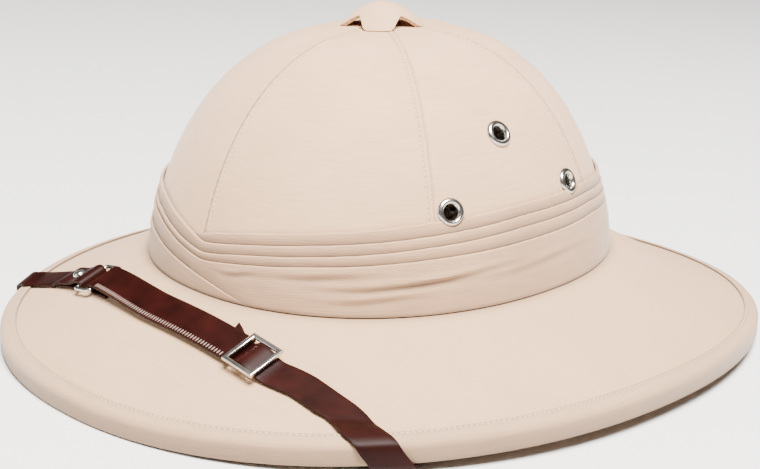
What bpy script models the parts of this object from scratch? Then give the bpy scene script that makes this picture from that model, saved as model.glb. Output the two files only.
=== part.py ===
"""A French-style pith helmet at rest on its rim: crown of six gores, brim with a bound rim, pleated
pugaree, vent cap, eyelets and a leather chin strap worn over the front of the brim.

Metres, +Z up. The front of the helmet faces -Y and the wearer's left is +X. Angles round the helmet
start at the front and grow towards the wearer's left. The pieces are modelled with the foot of the
crown near z = 0, and the empty that carries them all leans the helmet until its rim lies level.
"""
import math

import bmesh
import bpy
from mathutils import Matrix, Vector

# Fit
GAP = 0.0003
BAND_CLEARANCE = 0.0005

# Crown, measured outside its cloth at the foot
CROWN_HALF_WIDTH = 0.0955
CROWN_FRONT = 0.106
CROWN_BACK = 0.1015
CROWN_HEIGHT = 0.098
CROWN_WALL = 0.005
CROWN_SQUARENESS = 2.14
CROWN_SIDE_POWER = 2.75
CROWN_TOP_POWER = 1.66
CROWN_FOOT_RISE = 0.0017
FRONT_SEAM = math.radians(60.5)
BACK_SEAM = math.radians(113.5)
VENT_HOLE_RADIUS = 0.008

# Brim and its binding
RIM_HALF_WIDTH = 0.1524
RIM_FRONT = 0.1752
RIM_BACK = 0.1944
RIM_SQUARENESS = 2.14
RIM_DROP_FRONT = 0.0296
RIM_DROP_BACK = 0.0538
RIM_SIDE_LIFT = 0.0061
BRIM_WALL = 0.0055
BRIM_SAG = 0.25
BINDING_WALL = 0.0011
BINDING_TOP_WIDTH = 0.0072
BINDING_UNDER_WIDTH = 0.006
BINDING_REST_WIDTH = 0.002
REST_LEAN = math.atan2(RIM_DROP_BACK - RIM_DROP_FRONT, RIM_FRONT + RIM_BACK)
RIM_EDGE = BRIM_WALL + 2 * (BINDING_WALL + GAP)

# Pugaree: heights of its five folds over the foot of the crown, by the angle round the helmet.
# The cloth is wound from the front centre (0) round to the front again (360). Each fold there lies
# where the next one starts, and the fifth dives to the foot of the band.
BAND_WALL = 0.0013
FOLD_STEP = 0.0009
BAND_FOOT = BAND_CLEARANCE + BAND_WALL
FOLD_HEIGHTS = (
    # angle, fold 1,  fold 2,  fold 3,  fold 4,  fold 5
    (0, 0.0248, 0.0248, 0.0208, 0.0178, 0.0122),
    (4, 0.0274, 0.0240, 0.0204, 0.0172, 0.0104),
    (12, 0.0300, 0.0258, 0.0222, 0.0188, 0.0070),
    (21, 0.0320, 0.0276, 0.0236, 0.0201, 0.0015),
    (33, 0.0343, 0.0299, 0.0254, 0.0216, 0.0),
    (50, 0.0362, 0.0318, 0.0276, 0.0233, 0.0),
    (75, 0.0380, 0.0334, 0.0286, 0.0247, 0.0),
    (118, 0.0375, 0.0334, 0.0284, 0.0245, 0.0),
    (180, 0.0375, 0.0332, 0.0286, 0.0245, 0.0),
    (270, 0.0385, 0.0338, 0.0296, 0.0250, 0.0),
    (310, 0.0390, 0.0345, 0.0300, 0.0242, 0.0),
    (328, 0.0383, 0.0338, 0.0300, 0.0224, 0.0),
    (338, 0.0364, 0.0308, 0.0276, 0.0202, 0.0),
    (350, 0.0310, 0.0253, 0.0222, 0.0152, 0.0),
    (360, 0.0248, 0.0208, 0.0178, 0.0122, 0.0),
)
FOLD_OPENS_OVER = 14.0
FOLD_CLOSES_FROM = 12.0
FOLD_CLOSES_OVER = 12.0

# Vent cap
CAP_RADIUS = 0.0182
CAP_HEIGHT = 0.0105
CAP_WALL = 0.0015
CAP_PETALS = 4
CAP_GAP_WIDTH = 0.0085
CAP_GAP_START = 0.0105
CAP_GAP_HEIGHT = 0.0072

# Eyelets: angle round the helmet and height over the foot of the crown
EYELET_PLACES = ((math.radians(64.6), 0.0395), (math.radians(84), 0.0637), (math.radians(104.4), 0.0398))
EYELET_FLANGE_RADIUS = 0.0058
EYELET_HOLE_RADIUS = 0.0028
EYELET_BARREL_WALL = 0.0006
EYELET_PROUD = 0.0014

# Chin strap. Its run over the brim lies along X, a little ahead of the crown.
STRAP_MIDDLE_Y = -0.1225
STRAP_END_Y = -0.118
STRAP_END_X = 0.110
STRAP_REST = 0.0004
LEATHER = 0.0013
WRAP_LEAD = 0.0105
SHEAR_RUN = 0.030
UPPER_WIDTH = 0.0148
LOWER_WIDTH = 0.0130
TAB_WIDTH = 0.0140
ANCHOR_ANGLE = math.radians(80)
ANCHOR_INSET = 0.012
ANCHOR_TAIL = 0.006
TAB_FOLD_X = -0.0595
TAB_RETURN = 0.021
UPPER_FOLD_X = -0.0495
UPPER_RETURN = 0.012
RING_WIRE = 0.0018
RING_INSIDE = 0.0162
STUD_X = -0.0735
STUD_RADIUS = 0.0027
STUD_HEIGHT = 0.0016
STUD_POST = 0.0009
BUCKLE_X = 0.0522
BUCKLE_LENGTH = 0.0168
BUCKLE_WIDTH = 0.0178
BUCKLE_BAR = 0.0019
BUCKLE_PLATE = 0.0016
BUCKLE_CENTRE_BAR = 0.0016
TAIL_PAST_BUCKLE = 0.008
TAIL_SLANT = 0.0045
RIVET_RADIUS = 0.0032
RIVET_POST = 0.0013
RIVET_HEAD = 0.0012

# Fineness of the faceted surfaces, and how far a cutter reaches past what it cuts
PANEL_COLUMNS = 10
PANEL_ROWS = 9
ROUND_COLUMNS = 72
BRIM_ROWS = 6
SMALL_ROUND = 12
CUT_PAST = 0.004
APPROACH_STEPS = 9
HALVINGS = 40
SEARCH_SPREAD = 0.4

for stray in list(bpy.data.objects):
    bpy.data.objects.remove(stray, do_unlink=True)

helmet_pieces = bpy.data.collections.new("pith_helmet")
bpy.context.scene.collection.children.link(helmet_pieces)
cutters = bpy.data.collections.new("cutters")
bpy.context.scene.collection.children.link(cutters)
helmet_rest = bpy.data.objects.new("helmet_rest", None)
helmet_pieces.objects.link(helmet_rest)


def finish(name, colour, roughness, metallic=0.0):
    """A plain material from a piece's colour in the photograph."""
    material = bpy.data.materials.new(name)
    material.use_nodes = True
    shader = material.node_tree.nodes["Principled BSDF"]
    shader.inputs["Base Color"].default_value = (*colour, 1.0)
    shader.inputs["Roughness"].default_value = roughness
    shader.inputs["Metallic"].default_value = metallic
    return material


crown_cloth = finish("crown_cloth", (0.62, 0.53, 0.44), 0.9)
brim_cloth = finish("brim_cloth", (0.60, 0.51, 0.42), 0.9)
band_cloth = finish("band_cloth", (0.59, 0.50, 0.41), 0.9)
cap_cloth = finish("cap_cloth", (0.58, 0.50, 0.41), 0.9)
leather = finish("leather", (0.045, 0.010, 0.006), 0.38)
nickel = finish("nickel", (0.75, 0.73, 0.70), 0.22, 1.0)


def piece_from(bm, name, material):
    """A named helmet piece from a finished bmesh."""
    bmesh.ops.recalc_face_normals(bm, faces=bm.faces[:])
    mesh = bpy.data.meshes.new(name)
    bm.to_mesh(mesh)
    bm.free()
    mesh.shade_smooth()
    mesh.set_sharp_from_angle(angle=math.radians(40))
    piece = bpy.data.objects.new(name, mesh)
    piece.data.materials.append(material)
    piece.parent = helmet_rest
    helmet_pieces.objects.link(piece)
    return piece


def sheet(name, columns, rows, outer, inner, material):
    """A solid sheet between two surfaces, each a function of two shares from 0 to 1."""
    bm = bmesh.new()
    bmesh.ops.create_grid(bm, x_segments=columns, y_segments=rows, size=0.5)
    top = bm.verts[:]
    grown = bmesh.ops.extrude_face_region(bm, geom=bm.faces[:])
    bottom = [item for item in grown["geom"] if isinstance(item, bmesh.types.BMVert)]
    for surface, verts in ((outer, top), (inner, bottom)):
        for vert in verts:
            vert.co = surface(vert.co.x + 0.5, vert.co.y + 0.5)
    return piece_from(bm, name, material)


def hoop(name, columns, section, material, start=0.0):
    """A closed loft round the helmet. section(angle) lists a closed outline's points."""
    rows = len(section(0.0))
    bm = bmesh.new()
    bmesh.ops.create_grid(bm, x_segments=columns, y_segments=rows, size=0.5)
    sections = [section(start + math.tau * i / columns) for i in range(columns)] + [section(start + math.tau)]
    for vert in bm.verts:
        column = round((vert.co.x + 0.5) * columns)
        row = round((vert.co.y + 0.5) * rows)
        vert.co = sections[column][row % rows]
    bmesh.ops.remove_doubles(bm, verts=bm.verts[:], dist=1e-6)
    bmesh.ops.dissolve_degenerate(bm, edges=bm.edges[:], dist=1e-7)
    return piece_from(bm, name, material)


def turned(name, profile, sides, place, material):
    """A turned piece: its (radius, height) profile runs down the outer side and is spun round Z."""
    bm = bmesh.new()
    verts = [bm.verts.new((radius, 0.0, height)) for radius, height in profile]
    on_axis = profile[0][0] == 0.0 and profile[-1][0] == 0.0
    pairs = list(zip(verts, verts[1:]))
    if not on_axis:
        pairs.append((verts[-1], verts[0]))
    edges = [bm.edges.new(pair) for pair in pairs]
    bmesh.ops.spin(bm, geom=verts + edges, axis=(0, 0, 1), cent=(0, 0, 0), angle=math.tau,
                   steps=sides, use_merge=True)
    bmesh.ops.remove_doubles(bm, verts=bm.verts[:], dist=1e-6)
    bmesh.ops.transform(bm, matrix=place, verts=bm.verts[:])
    return piece_from(bm, name, material)


def cylinder_cutter(name, radius, length, place, sides=SMALL_ROUND):
    bm = bmesh.new()
    bmesh.ops.create_cone(bm, cap_ends=True, segments=sides, radius1=radius, radius2=radius, depth=length)
    bmesh.ops.transform(bm, matrix=place, verts=bm.verts[:])
    return cutter_from(bm, name)


def cutter_from(bm, name):
    mesh = bpy.data.meshes.new(name)
    bm.to_mesh(mesh)
    bm.free()
    cutter = bpy.data.objects.new(name, mesh)
    cutter.parent = helmet_rest
    cutter.hide_render = True
    cutter.display_type = "WIRE"
    cutters.objects.link(cutter)
    return cutter


def cut(piece, cutter):
    modifier = piece.modifiers.new(cutter.name, "BOOLEAN")
    modifier.operation = "DIFFERENCE"
    modifier.object = cutter


def oval(angle, half_width, front, back, squareness):
    """A point on a squarish oval, with its own half lengths to the front and to the back."""
    across, along = math.sin(angle), math.cos(angle)
    reach = (abs(across) ** squareness + abs(along) ** squareness) ** (-1 / squareness)
    half_length = front if along > 0 else back
    return Vector((half_width * across * reach, -half_length * along * reach))


def foot_height(angle):
    return CROWN_FOOT_RISE * math.cos(angle)


def crown_point(angle, rise, out=0.0):
    """The crown's surface, moved out by a distance. rise is 0 at the foot and 1 at the top."""
    height = CROWN_HEIGHT + out
    share = (1 - rise ** CROWN_TOP_POWER) ** (1 / CROWN_SIDE_POWER)
    plan = oval(angle, CROWN_HALF_WIDTH + out, CROWN_FRONT + out, CROWN_BACK + out, CROWN_SQUARENESS) * share
    return Vector((plan.x, plan.y, foot_height(angle) * (1 - rise) + height * rise))


def crown_at(angle, over_foot, out=0.0):
    """The crown's surface at a height over its own foot."""
    return crown_point(angle, over_foot / (CROWN_HEIGHT + out), out)


def crown_frame(angle, over_foot):
    """Centre and outward direction as a matrix whose Z points out of the crown."""
    step = 0.001
    here = crown_at(angle, over_foot)
    across = crown_at(angle + step, over_foot) - here
    up = crown_at(angle, over_foot + step) - here
    outward = across.cross(up).normalized()
    side = across.normalized()
    rotation = Matrix((side, outward.cross(side), outward)).transposed().to_4x4()
    return Matrix.Translation(here) @ rotation


# Crown: six gores with a seam gap between them
def crown_panel(name, start, end):
    top_turn = math.acos((VENT_HOLE_RADIUS / CROWN_HALF_WIDTH) ** (CROWN_SIDE_POWER / 2))
    foot_turn = math.asin((GAP / CROWN_HEIGHT) ** (CROWN_TOP_POWER / 2))

    def surface(out):
        def place(across, up):
            turn = foot_turn + (top_turn - foot_turn) * up
            rise = math.sin(turn) ** (2 / CROWN_TOP_POWER)
            radius = CROWN_HALF_WIDTH * math.cos(turn) ** (2 / CROWN_SIDE_POWER)
            seam = 0.6 * GAP / radius
            angle = start + seam + (end - start - 2 * seam) * across
            point = crown_point(angle, rise, out)
            if up == 0.0:
                point.z = foot_height(angle) + GAP
            return point
        return place
    return sheet(name, PANEL_COLUMNS, PANEL_ROWS, surface(0.0), surface(-CROWN_WALL), crown_cloth)


seams = (0.0, FRONT_SEAM, BACK_SEAM, math.pi, math.tau - BACK_SEAM, math.tau - FRONT_SEAM, math.tau)
crown_panels = [
    crown_panel(f"crown_panel_{number}", start, end)
    for number, (start, end) in enumerate(zip(seams, seams[1:]), start=1)
]


# Brim: a sloping wall from the crown's inner edge to the rim
def seat_plan(angle):
    """Where the brim starts to slope: just outside the band's foot."""
    return oval(angle, CROWN_HALF_WIDTH + BAND_FOOT, CROWN_FRONT + BAND_FOOT, CROWN_BACK + BAND_FOOT,
                CROWN_SQUARENESS)


def rim_plan(angle, inset=0.0):
    return oval(angle, RIM_HALF_WIDTH - inset, RIM_FRONT - inset, RIM_BACK - inset, RIM_SQUARENESS)


def rim_bottom(angle):
    middle = (RIM_DROP_FRONT + RIM_DROP_BACK) / 2
    lean = (RIM_DROP_BACK - RIM_DROP_FRONT) / 2
    return lean * math.cos(angle) - middle + RIM_SIDE_LIFT * math.sin(angle) ** 2


def brim_point(angle, share):
    """The top of the brim. share is 0 at the foot of the crown and 1 at the rim's outer edge."""
    plan = seat_plan(angle).lerp(rim_plan(angle), share)
    top = rim_bottom(angle) + RIM_EDGE - BINDING_WALL - GAP
    fall = share + BRIM_SAG * share * (1 - share)
    return Vector((plan.x, plan.y, foot_height(angle) + (top - foot_height(angle)) * fall))


def rim_share(angle, inset):
    """The share at which the brim lies a distance inside the rim's outer edge."""
    return 1 - inset / (rim_plan(angle) - seat_plan(angle)).length


def brim_section(angle):
    inner = oval(angle, CROWN_HALF_WIDTH - CROWN_WALL, CROWN_FRONT - CROWN_WALL, CROWN_BACK - CROWN_WALL,
                 CROWN_SQUARENESS)
    landing = Vector((inner.x, inner.y, foot_height(angle)))
    edge = rim_share(angle, BINDING_WALL + GAP)
    down = Vector((0, 0, -BRIM_WALL))
    top = [landing] + [brim_point(angle, edge * row / BRIM_ROWS) for row in range(BRIM_ROWS + 1)]
    under = [brim_point(angle, edge), brim_point(angle, edge / 2), brim_point(angle, 0.0), landing]
    return top + [point + down for point in under]


half_column = math.pi / ROUND_COLUMNS
brim = hoop("brim", ROUND_COLUMNS, brim_section, brim_cloth, start=half_column)


def binding_section(angle):
    """The binding in section: over the rim, round its edge and under it, then back along the brim."""
    low = rim_bottom(angle)

    def point(inset, height):
        plan = brim_point(angle, rim_share(angle, inset))
        return Vector((plan.x, plan.y, height))

    def level(inset):
        """A point of the underside, which lies level once the helmet leans on its rim."""
        plan = brim_point(angle, rim_share(angle, inset))
        return Vector((plan.x, plan.y, low + math.tan(REST_LEAN) * (rim_plan(angle).y - plan.y)))

    def over(inset, lift):
        spot = brim_point(angle, rim_share(angle, inset))
        return spot + Vector((0, 0, lift))

    under = -BRIM_WALL - GAP
    wall = BINDING_WALL + GAP
    top_outer = over(0.0, 0.0).z + wall
    return [
        over(BINDING_TOP_WIDTH, wall),
        over(0.002, wall),
        point(0.0006, top_outer - 0.0006),
        point(0.0, top_outer - 0.002),
        point(0.0, low + 0.0016),
        level(0.0006),
        level(BINDING_REST_WIDTH),
        over(BINDING_UNDER_WIDTH, under - BINDING_WALL),
        over(BINDING_UNDER_WIDTH, under),
        over(BINDING_WALL, under),
        over(BINDING_WALL, GAP),
        over(BINDING_TOP_WIDTH, GAP),
    ]


binding = hoop("brim_binding", ROUND_COLUMNS, binding_section, brim_cloth, start=half_column)


# Pugaree: a wound band whose folds step out of each other
def fold_heights(degrees):
    for row, after in zip(FOLD_HEIGHTS, FOLD_HEIGHTS[1:]):
        if degrees <= after[0]:
            share = (degrees - row[0]) / (after[0] - row[0])
            return [a + (b - a) * share for a, b in zip(row[1:], after[1:])]
    return list(FOLD_HEIGHTS[-1][1:])


def ramp(value):
    return min(1.0, max(0.0, value))


def pugaree_section(angle):
    """The band in section: down its folds, round its foot and up the crown."""
    degrees = math.degrees(angle)
    folds = fold_heights(degrees)
    opened = ramp(degrees / FOLD_OPENS_OVER)
    closed = ramp((FOLD_CLOSES_FROM + FOLD_CLOSES_OVER - degrees) / FOLD_CLOSES_OVER)
    inside = BAND_CLEARANCE
    outside = inside + BAND_WALL
    tucked = outside - FOLD_STEP
    foot = 2 * GAP
    points = []
    for number, height in enumerate(folds):
        if number == 0:
            upper, lower = inside, inside + BAND_WALL * opened
        elif number == 1:
            upper, lower = inside + (tucked - inside) * opened, outside
        elif number == 4:
            upper, lower = outside - FOLD_STEP * closed, outside
        else:
            upper, lower = tucked, outside
        height = max(height, foot)
        points += [crown_at(angle, height, upper), crown_at(angle, height, lower)]
    points += [crown_at(angle, foot, outside), crown_at(angle, foot, inside)]
    points += [crown_at(angle, share * folds[0], inside) for share in (0.33, 0.67)]
    return points


pugaree = hoop("pugaree", ROUND_COLUMNS, pugaree_section, band_cloth)


# Vent cap: a domed shell with open gaps between its petals, standing on the crown over the vent
def cap_place():
    foot = crown_point(0.0, (1 - (CAP_RADIUS / CROWN_HALF_WIDTH) ** CROWN_SIDE_POWER) ** (1 / CROWN_TOP_POWER))
    return Matrix.Translation((0, 0, foot.z + 2 * GAP))


cap_outline = [
    (CAP_RADIUS * share, CAP_HEIGHT * rise)
    for share, rise in ((0.0, 1.0), (0.3, 0.97), (0.52, 0.86), (0.68, 0.66), (0.84, 0.36), (1.0, 0.0))
]
cap_inside = [(max(radius - CAP_WALL, 0.0), height - CAP_WALL) for radius, height in cap_outline[:-1]]
cap_foot = [(CAP_RADIUS - CAP_WALL, 0.0)]
vent_cap = turned("vent_cap", cap_outline + cap_foot + cap_inside[::-1], 24, cap_place(), cap_cloth)
for number in range(CAP_PETALS):
    bm = bmesh.new()
    bmesh.ops.create_cube(bm, size=1.0)
    length = CAP_RADIUS + CUT_PAST - CAP_GAP_START
    bmesh.ops.transform(bm, verts=bm.verts[:], matrix=(
        cap_place() @ Matrix.Rotation(math.tau * number / CAP_PETALS, 4, "Z")
        @ Matrix.Translation((CAP_GAP_START + length / 2, 0, CAP_GAP_HEIGHT / 2 - CUT_PAST / 2))
        @ Matrix.Diagonal((length, CAP_GAP_WIDTH, CAP_GAP_HEIGHT + CUT_PAST, 1.0))))
    bmesh.ops.bevel(bm, geom=[edge for edge in bm.edges if abs((edge.verts[0].co - edge.verts[1].co).z) > 0.004],
                    offset=0.0015, segments=2, affect="EDGES", profile=0.5)
    cut(vent_cap, cutter_from(bm, f"cap_gap_{number + 1}"))


# Eyelets: turned rings through drilled holes in the side gores
def eyelet_profile():
    inside = -CROWN_WALL - GAP
    barrel = EYELET_HOLE_RADIUS + EYELET_BARREL_WALL
    return [
        (EYELET_HOLE_RADIUS, inside),
        (EYELET_HOLE_RADIUS, -0.0008),
        (EYELET_HOLE_RADIUS + 0.0010, EYELET_PROUD * 0.72),
        (EYELET_HOLE_RADIUS + 0.0019, EYELET_PROUD),
        (EYELET_FLANGE_RADIUS - 0.0006, EYELET_PROUD * 0.80),
        (EYELET_FLANGE_RADIUS, GAP),
        (barrel, GAP),
        (barrel, inside),
    ]


eyelet_places = [
    (side * angle, height) for side in (1, -1) for angle, height in EYELET_PLACES
]
for number, (angle, height) in enumerate(eyelet_places, start=1):
    place = crown_frame(angle, height)
    turned(f"eyelet_{number}", eyelet_profile(), SMALL_ROUND, place, nickel)
    hole = cylinder_cutter(f"eyelet_hole_{number}", EYELET_HOLE_RADIUS + EYELET_BARREL_WALL + GAP,
                           2 * (CROWN_WALL + CUT_PAST), place)
    panel = crown_panels[1] if angle > 0 else crown_panels[4]
    cut(panel, hole)
    if height - EYELET_FLANGE_RADIUS < FOLD_HEIGHTS[6][1]:
        notch_place = place @ Matrix.Translation((0, 0, CUT_PAST))
        notch = cylinder_cutter(f"eyelet_notch_{number}", EYELET_FLANGE_RADIUS + GAP, 3 * CUT_PAST,
                                notch_place, 2 * SMALL_ROUND)
        cut(pugaree, notch)


# Chin strap: flat leather swept along the brim
def brim_spot(x, y):
    """The angle and share of the brim that lie under a plan point, found by halving."""
    guess = math.atan2(x, -y)
    low, high = guess - SEARCH_SPREAD, guess + SEARCH_SPREAD
    target = Vector((x, y))
    for _ in range(HALVINGS):
        middle = (low + high) / 2
        seat, rim = seat_plan(middle), rim_plan(middle)
        side = (rim - seat).x * (target - seat).y - (rim - seat).y * (target - seat).x
        if side > 0:
            low = middle
        else:
            high = middle
    seat, rim = seat_plan(middle), rim_plan(middle)
    return middle, (target - seat).dot(rim - seat) / (rim - seat).length_squared


def brim_top(x, y):
    return brim_point(*brim_spot(x, y))


def brim_normal(x, y):
    step = 0.001
    here = brim_top(x, y)
    return (brim_top(x + step, y) - here).cross(brim_top(x, y + step) - here).normalized()


def strap_y(x):
    return STRAP_MIDDLE_Y + (STRAP_END_Y - STRAP_MIDDLE_Y) * (x / STRAP_END_X) ** 2


def strap_frame(x):
    """A frame on the brim under the strap: X along it, Z away from the brim."""
    step = 0.001
    here = brim_top(x, strap_y(x))
    up = brim_normal(x, strap_y(x))
    along = brim_top(x + step, strap_y(x + step)) - here
    along = (along - up * along.dot(up)).normalized()
    rotation = Matrix((along, up.cross(along), up)).transposed().to_4x4()
    return Matrix.Translation(here) @ rotation


def on_brim(path):
    """Stations of a strap from (x, height, heading, shear) rows: point, across and facing directions."""
    stations = []
    for x, height, heading, shear in path:
        frame = strap_frame(x)
        along, across, up = (frame.col[i].to_3d() for i in range(3))
        turn = math.radians(heading)
        facing = -math.sin(turn) * along + math.cos(turn) * up
        stations.append((frame.translation + up * height, across + along * shear, facing))
    return stations


def bend(x, height, radius, start, end, steps=6):
    """Rows of a strap path round a bar: the strap's inner face keeps a radius from the bar's centre."""
    rows = []
    for step in range(steps + 1):
        heading = start + (end - start) * step / steps
        turn = math.radians(heading)
        rows.append((x - math.sin(turn) * radius, height + math.cos(turn) * radius, heading, 0))
    return rows


def strap(name, stations, width, slant=0.0):
    """A strap swept through its stations. Its first end may be cut at a slant."""
    count = len(stations) - 1

    def surface(lift):
        def place(along, side):
            index = round(along * count)
            point, across, facing = stations[index]
            edge = point + across * (side - 0.5) * width + facing * lift
            if index == 0 and slant:
                edge += (stations[0][0] - stations[1][0]).normalized() * slant * side
            return edge
        return place
    return sheet(name, count, 1, surface(LEATHER), surface(0.0), leather)


def rim_crossing(side):
    """Where the strap's line meets the rim: its x, its angle and the rim's tangent and outward directions."""
    near, far = 0.0, RIM_HALF_WIDTH
    for _ in range(HALVINGS):
        middle = (near + far) / 2
        if brim_spot(side * middle, strap_y(middle))[1] < 1:
            near = middle
        else:
            far = middle
    angle, _ = brim_spot(side * near, strap_y(near))
    step = 0.01
    here, there = rim_plan(angle), rim_plan(angle + step)
    rise = rim_bottom(angle + step) - rim_bottom(angle)
    tangent = Vector((there.x - here.x, there.y - here.y, rise)).normalized() * side
    outward = Vector((tangent.y, -tangent.x, 0)).normalized() * side
    return side * near, angle, tangent, outward


def under_brim(side, start, tangent):
    """Stations from under the rim to the anchor under the brim, and a little past it."""
    seat = seat_plan(side * ANCHOR_ANGLE)
    anchor = seat + (rim_plan(side * ANCHOR_ANGLE) - seat).normalized() * (ANCHOR_INSET - CROWN_WALL)
    direction = (anchor - start).normalized()
    length = (anchor - start).length + ANCHOR_TAIL
    stations = []
    for run in (0.0046, 0.0080, 0.012, 0.019, 0.028, 0.040, 0.053, 0.066, 0.078, length):
        plan = start + direction * run
        angle, reach = brim_spot(plan.x, plan.y)
        inset = (1 - reach) * (rim_plan(angle) - seat_plan(angle)).length
        settled = ramp((inset - BINDING_UNDER_WIDTH - 5 * GAP) / 0.003)
        depth = BRIM_WALL + STRAP_REST + (BINDING_WALL + 3 * GAP) * (1 - settled)
        up = brim_normal(plan.x, plan.y)
        along = Vector((direction.x, direction.y, 0))
        along = (along - up * along.dot(up)).normalized()
        across = up.cross(along) * -side
        shear = tangent.dot(along) / tangent.dot(across) * (1 - ramp(run / SHEAR_RUN))
        point = brim_point(angle, reach) - Vector((0, 0, depth))
        stations.append((point, across + along * shear, -up))
    return stations, anchor


def round_rim(side):
    """Stations over the rim's edge. Their rows lie along the rim, which the strap crosses at a slant."""
    _, angle, tangent, outward = rim_crossing(side)
    rim = rim_plan(angle)
    heading = Vector((side, 0, 0))
    drift = heading.dot(tangent) / heading.dot(outward)
    low = rim_bottom(angle)
    inner, outer = brim_point(angle, 0.9), brim_point(angle, 1.0)
    fall = (inner.z - outer.z) / Vector((inner.x - outer.x, inner.y - outer.y)).length
    top = low + RIM_EDGE + STRAP_REST
    under = low - STRAP_REST
    outline = (
        # out from the rim, height, turn of the face
        (-0.0045, top + 0.0045 * fall, 0),
        (-0.0018, top + 0.0018 * fall, 8),
        (0.0, top - 0.0009, 42),
        (0.0004, top - 0.0026, 80),
        (0.0004, low + 0.0024, 100),
        (0.0002, low + 0.0008, 120),
        (-0.0006, under, 150),
        (-0.0020, under, 178),
        (-0.0036, under + 0.0012 * fall, 195),
    )
    stations = []
    run = 0.0
    previous = outline[0]
    for out, height, degrees in outline:
        run += math.dist((out, height), previous[:2])
        previous = (out, height)
        turn = math.radians(degrees)
        point = Vector((rim.x, rim.y, 0)) + outward * out + tangent * drift * (run - 0.0065)
        point.z += height
        facing = math.sin(turn) * outward + math.cos(turn) * Vector((0, 0, 1))
        stations.append((point, tangent * math.hypot(1, drift), facing))
    return stations, tangent


def rim_approach(x, share_run, side):
    """Heights of the strap as it climbs from the brim onto the binding, and the slant of its rows."""
    angle, share = brim_spot(x, strap_y(x))
    inset = (1 - share) * (rim_plan(angle) - seat_plan(angle)).length
    climb = ramp((BINDING_TOP_WIDTH + 0.004 - inset) / 0.003)
    tangent = rim_crossing(side)[2]
    return (x, STRAP_REST + (BINDING_WALL + GAP) * climb, 0, tangent.x / tangent.y * share_run)


ring_radius = RING_WIRE / 2 + GAP
ring_height = STRAP_REST + LEATHER + GAP + RING_WIRE / 2
over_return = STRAP_REST + LEATHER + GAP


def hidden_end(side):
    over_edge, tangent = round_rim(side)
    last = over_edge[-1][0]
    below, anchor = under_brim(side, Vector((last.x, last.y)), tangent)
    return over_edge + below, anchor


def joined(brim_rows, side):
    """A whole strap: its run on the brim, then over the rim and under the brim to its anchor."""
    hidden, anchor = hidden_end(side)
    return on_brim(brim_rows) + hidden, anchor


def approach(side, start):
    """Rows from a point on the brim to the binding, turning slowly to lie along the rim."""
    last = rim_crossing(side)[0] - side * WRAP_LEAD
    rows = []
    for step in range(APPROACH_STEPS + 1):
        share = step / APPROACH_STEPS
        rows.append(rim_approach(start + (last - start) * share, ramp(share / 0.75), side))
    return rows


def settle(start, end, high, low, steps=3):
    """Rows that let a strap down, or up, smoothly between two heights."""
    rows = []
    for step in range(1, steps + 1):
        share = step / steps
        ease = share * share * (3 - 2 * share)
        rows.append((start + (end - start) * share, high + (low - high) * ease, 0, 0))
    return rows


tab_rows = [
    (TAB_FOLD_X - TAB_RETURN, STRAP_REST + LEATHER, -180, 0),
    (TAB_FOLD_X - TAB_RETURN / 2, STRAP_REST + LEATHER, -180, 0),
]
tab_rows += bend(TAB_FOLD_X, ring_height, ring_radius, -180, 0)
tab_rows += settle(TAB_FOLD_X, TAB_FOLD_X - 0.012, ring_height + ring_radius, over_return)
tab_rows += settle(TAB_FOLD_X - TAB_RETURN - 0.0006, TAB_FOLD_X - TAB_RETURN - 0.006, over_return, STRAP_REST)
tab_rows += approach(-1, TAB_FOLD_X - TAB_RETURN - 0.009)
tab_stations, right_anchor = joined(tab_rows, -1)
strap_tab = strap("strap_tab", tab_stations, TAB_WIDTH)

upper_end = BUCKLE_X - BUCKLE_LENGTH / 2 + BUCKLE_BAR
tail_end = BUCKLE_X - BUCKLE_LENGTH / 2 - TAIL_PAST_BUCKLE
upper_rows = [(UPPER_FOLD_X + UPPER_RETURN, STRAP_REST + LEATHER, 180, 0)]
upper_rows += bend(UPPER_FOLD_X, ring_height, ring_radius, 180, 0)
upper_rows += settle(UPPER_FOLD_X, UPPER_FOLD_X + 0.009, ring_height + ring_radius, over_return)
upper_rows += settle(UPPER_FOLD_X + UPPER_RETURN + 0.0006, UPPER_FOLD_X + UPPER_RETURN + 0.006, over_return,
                     STRAP_REST)
upper_rows += [(x, STRAP_REST, 0, 0) for x in (-0.020, -0.006, 0.008, 0.020)]
upper_rows += settle(tail_end - 0.010, tail_end - 0.003, STRAP_REST, over_return)
upper_rows += [(tail_end + 0.004, over_return, 0, 0), (upper_end, over_return, 0, 0)]
strap_upper = strap("strap_upper", on_brim(upper_rows), UPPER_WIDTH)

plate_bottom = over_return + LEATHER + GAP
over_centre_bar = plate_bottom - LEATHER + GAP
centre_bar_top = over_centre_bar - GAP
lower_rows = [(tail_end, STRAP_REST, 0, 0), (upper_end - 0.002, STRAP_REST, 0, 0)]
lower_rows += settle(upper_end - 0.001, BUCKLE_X - BUCKLE_CENTRE_BAR / 2, STRAP_REST, over_centre_bar, 4)
lower_rows += settle(BUCKLE_X + BUCKLE_CENTRE_BAR / 2, BUCKLE_X + BUCKLE_LENGTH / 2 + 0.002, over_centre_bar,
                     STRAP_REST, 4)
lower_rows += approach(1, BUCKLE_X + BUCKLE_LENGTH / 2 + 0.006)
lower_stations, left_anchor = joined(lower_rows, 1)
strap_lower = strap("strap_lower", lower_stations, LOWER_WIDTH, TAIL_SLANT)


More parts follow.
